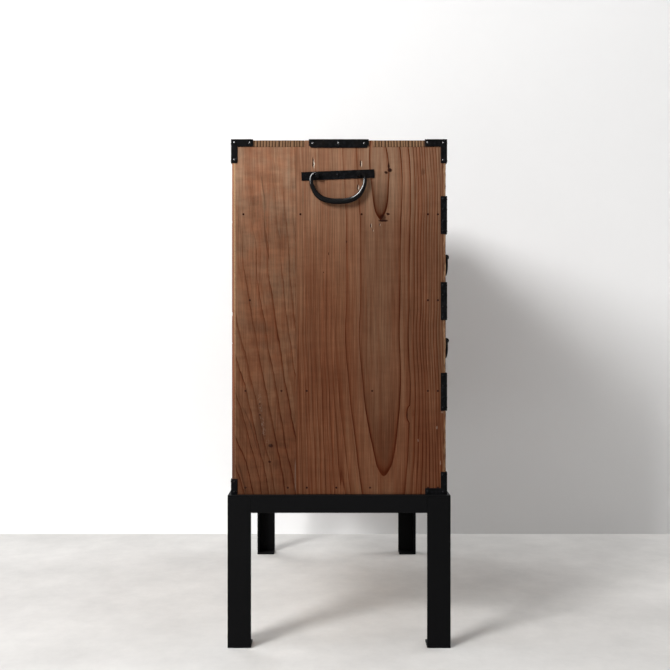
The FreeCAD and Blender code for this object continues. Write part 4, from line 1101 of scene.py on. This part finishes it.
class PegsOperator(bpy.types.Operator):
    """Drives the wooden pegs through the sides into the shelves"""
    bl_idname = "chest.pegs"
    bl_label = "Pegs"

    def execute(self, context):
        sizes = context.scene.chest_sizes
        rng = random.Random(11)
        pegs = []
        for low, high in loose_solids("wood_pegs"):
            middle = (low + high) / 2
            side = -1 if middle.x < 0 else 1
            outer = low.x if side < 0 else high.x
            radius = (high.z - low.z) / 2
            peg = fresh(bpy.ops.mesh.primitive_cylinder_add, "peg", vertices=14, radius=radius,
                        depth=high.x - low.x, location=middle, rotation=(0, math.pi / 2, 0))
            with editing(peg):
                pick(peg, "FACE", lambda f: len(f.verts) > 4 and
                     abs(f.calc_center_median().x - outer) < 0.1 * MM)
                bpy.ops.mesh.inset(thickness=0.45 * radius)
                bpy.ops.transform.translate(value=(side * sizes.peg_rise * rng.uniform(0.4, 1.6), 0, 0))
            pegs.append(peg)
        piece = joined(pegs, "wooden_pegs")
        smooth(piece, 40)
        hang(piece, "wood_pegs", look("peg"))
        return {"FINISHED"}


class IronsOperator(bpy.types.Operator):
    """Makes the corner irons, straps, strips and hinge leaves of the case"""
    bl_idname = "chest.irons"
    bl_label = "Irons"

    def execute(self, context):
        sizes = context.scene.chest_sizes
        for node in ("corner_irons", "edge_straps", "top_straps", "door_hinge_frames"):
            hang(outline_of(node, "iron_" + node, sizes.iron_edge), node, look("iron"))
        mounts = outline_of("side_handle_mounts", "iron_side_handle_mounts")
        plates = [high.x for low, high in loose_solids("side_handle_mounts") if high.x - low.x < PLATE]
        plate_face = max(plates)
        with editing(mounts):
            pick(mounts, "EDGE", lambda e: max(abs(v.co.x) for v in e.verts) > plate_face + 1 * MM)
            bpy.ops.mesh.bevel(offset=sizes.post_round, segments=3, profile=0.5, clamp_overlap=True)
        bevelled(mounts, sizes.iron_edge)
        hang(mounts, "side_handle_mounts", look("iron"))
        finish_part(mounts, look("rod"), lambda face: abs(face.center.x) > plate_face + 0.3 * MM)
        return {"FINISHED"}


class NailsOperator(bpy.types.Operator):
    """Drives the domed nails of the case's irons"""
    bl_idname = "chest.nails"
    bl_label = "Nails"

    def execute(self, context):
        sizes = context.scene.chest_sizes
        pattern = self.head(sizes)
        rng = random.Random(5)
        heads = []
        for low, high in loose_solids("case_nails"):
            size = high - low
            axis = min(range(3), key=lambda i: size[i])
            middle = (low + high) / 2
            outward = Vector((0, 0, 0))
            outward[axis] = 1.0 if middle[axis] > (CASE_MIDDLE if axis == 2 else 0) else -1.0
            head = twin(pattern, "nail")
            place = middle.copy()
            place[axis] = (high if outward[axis] < 0 else low)[axis]
            head.rotation_mode = "QUATERNION"
            head.rotation_quaternion = outward.to_track_quat("Z", "Y")
            head.location = place
            head.scale = [rng.uniform(0.86, 1.0), rng.uniform(0.86, 1.0), rng.uniform(0.8, 1.0)]
            heads.append(settle(head, "nail"))
        bpy.data.objects.remove(pattern)
        piece = joined(heads, "iron_case_nails")
        smooth(piece, 50)
        hang(piece, "case_nails", look("nail"))
        finish_part(piece, look("iron"), lambda face: face.center.z < sizes.rubbed_above)
        return {"FINISHED"}

    def head(self, sizes):
        """A hammered nail's head standing on the ground plane: a disc with three smaller steps."""
        base = 0.35 * MM
        head = fresh(bpy.ops.mesh.primitive_cylinder_add, "nail_pattern", vertices=10,
                     radius=sizes.nail_radius, depth=base, location=(0, 0, base / 2))
        with editing(head):
            for inset, rise in ((0.5 * MM, 0.5), (0.9 * MM, 0.22), (0.5 * MM, 0.28)):
                pick(head, "FACE", lambda f: f.normal.z > 0.99 and len(f.verts) > 4)
                bpy.ops.mesh.inset(thickness=inset)
                bpy.ops.transform.translate(value=(0, 0, rise * (sizes.nail_rise - base)))
        return head


class SideHandlesOperator(bpy.types.Operator):
    """Makes the swinging handles on the sides"""
    bl_idname = "chest.side_handles"
    bl_label = "Side handles"

    def execute(self, context):
        for side in ("left", "right"):
            node = "side_bail_" + side
            hang(swinging_rod("iron_" + node, *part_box(node)), node, look("rod"))
        return {"FINISHED"}


class DrawersOperator(bpy.types.Operator):
    """Makes the drawers: fronts, boxes and bottoms"""
    bl_idname = "chest.drawers"
    bl_label = "Drawers"

    def execute(self, context):
        sizes = context.scene.chest_sizes
        fronts = sorted(n for n in frame["nodes"] if n.startswith("drawer_") and n.endswith("_front"))
        for index, node in enumerate(fronts):
            low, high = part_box(node)
            piece = outline_of(node, "cedar_" + node, sizes.inner_edge)
            hang(piece, node, front_wood(index, (low.z + high.z) / 2))
            for part in ("_box", "_bottom"):
                inner = node.replace("_front", part)
                hang(outline_of(inner, "softwood_" + inner, sizes.inner_edge), inner, look("inside"))
        return {"FINISHED"}


class DrawerIronsOperator(bpy.types.Operator):
    """Makes the drawers' and the door's plates, locks and swinging handles"""
    bl_idname = "chest.drawer_irons"
    bl_label = "Drawer irons"

    def execute(self, context):
        sizes = context.scene.chest_sizes
        for node in frame["nodes"]:
            if node.endswith(("_fittings", "_lock_bolt")) or node == "door_irons":
                hang(outline_of(node, "iron_" + node, sizes.iron_edge), node, look("iron"))
            elif node.startswith("drawer_") and "_bail" in node:
                hang(outline_of(node, "iron_" + node), node, look("rod"))
        return {"FINISHED"}


class DoorOperator(bpy.types.Operator):
    """Makes the small door"""
    bl_idname = "chest.door"
    bl_label = "Door"

    def execute(self, context):
        low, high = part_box("door_panel")
        piece = outline_of("door_panel", "cedar_door_panel", context.scene.chest_sizes.inner_edge)
        hang(piece, "door_panel", front_wood(5, (low.z + high.z) / 2))
        return {"FINISHED"}


OPERATORS = (
    StageOperator, StandOperator, SidesOperator, CaseOperator, PegsOperator, IronsOperator, NailsOperator,
    SideHandlesOperator, DrawersOperator, DrawerIronsOperator, DoorOperator,
)


class ChestPanel(bpy.types.Panel):
    """Lists the chest's sizes, colours and pieces"""
    bl_idname = "VIEW3D_PT_chest"
    bl_label = "Chest"
    bl_space_type = "VIEW_3D"
    bl_region_type = "UI"
    bl_category = "Chest"

    def draw(self, context):
        scene = context.scene
        for group in (scene.chest_sizes, scene.chest_colours, scene.chest_light):
            box = self.layout.box()
            for name in group.__annotations__:
                box.prop(group, name)
        for operator in OPERATORS:
            self.layout.operator(operator.bl_idname)


GROUPS = {"chest_sizes": ChestSizes, "chest_colours": ChestColours, "chest_light": ChestLight}


def register():
    for kind in (*GROUPS.values(), *OPERATORS, ChestPanel):
        bpy.utils.register_class(kind)
    for name, kind in GROUPS.items():
        setattr(bpy.types.Scene, name, bpy.props.PointerProperty(type=kind))


def unregister():
    for name in GROUPS:
        delattr(bpy.types.Scene, name)
    for kind in reversed((*GROUPS.values(), *OPERATORS, ChestPanel)):
        bpy.utils.unregister_class(kind)


def main():
    register()
    for operator in OPERATORS:
        getattr(bpy.ops.chest, operator.bl_idname.split(".")[1])()


if __name__ == "__main__":
    main()
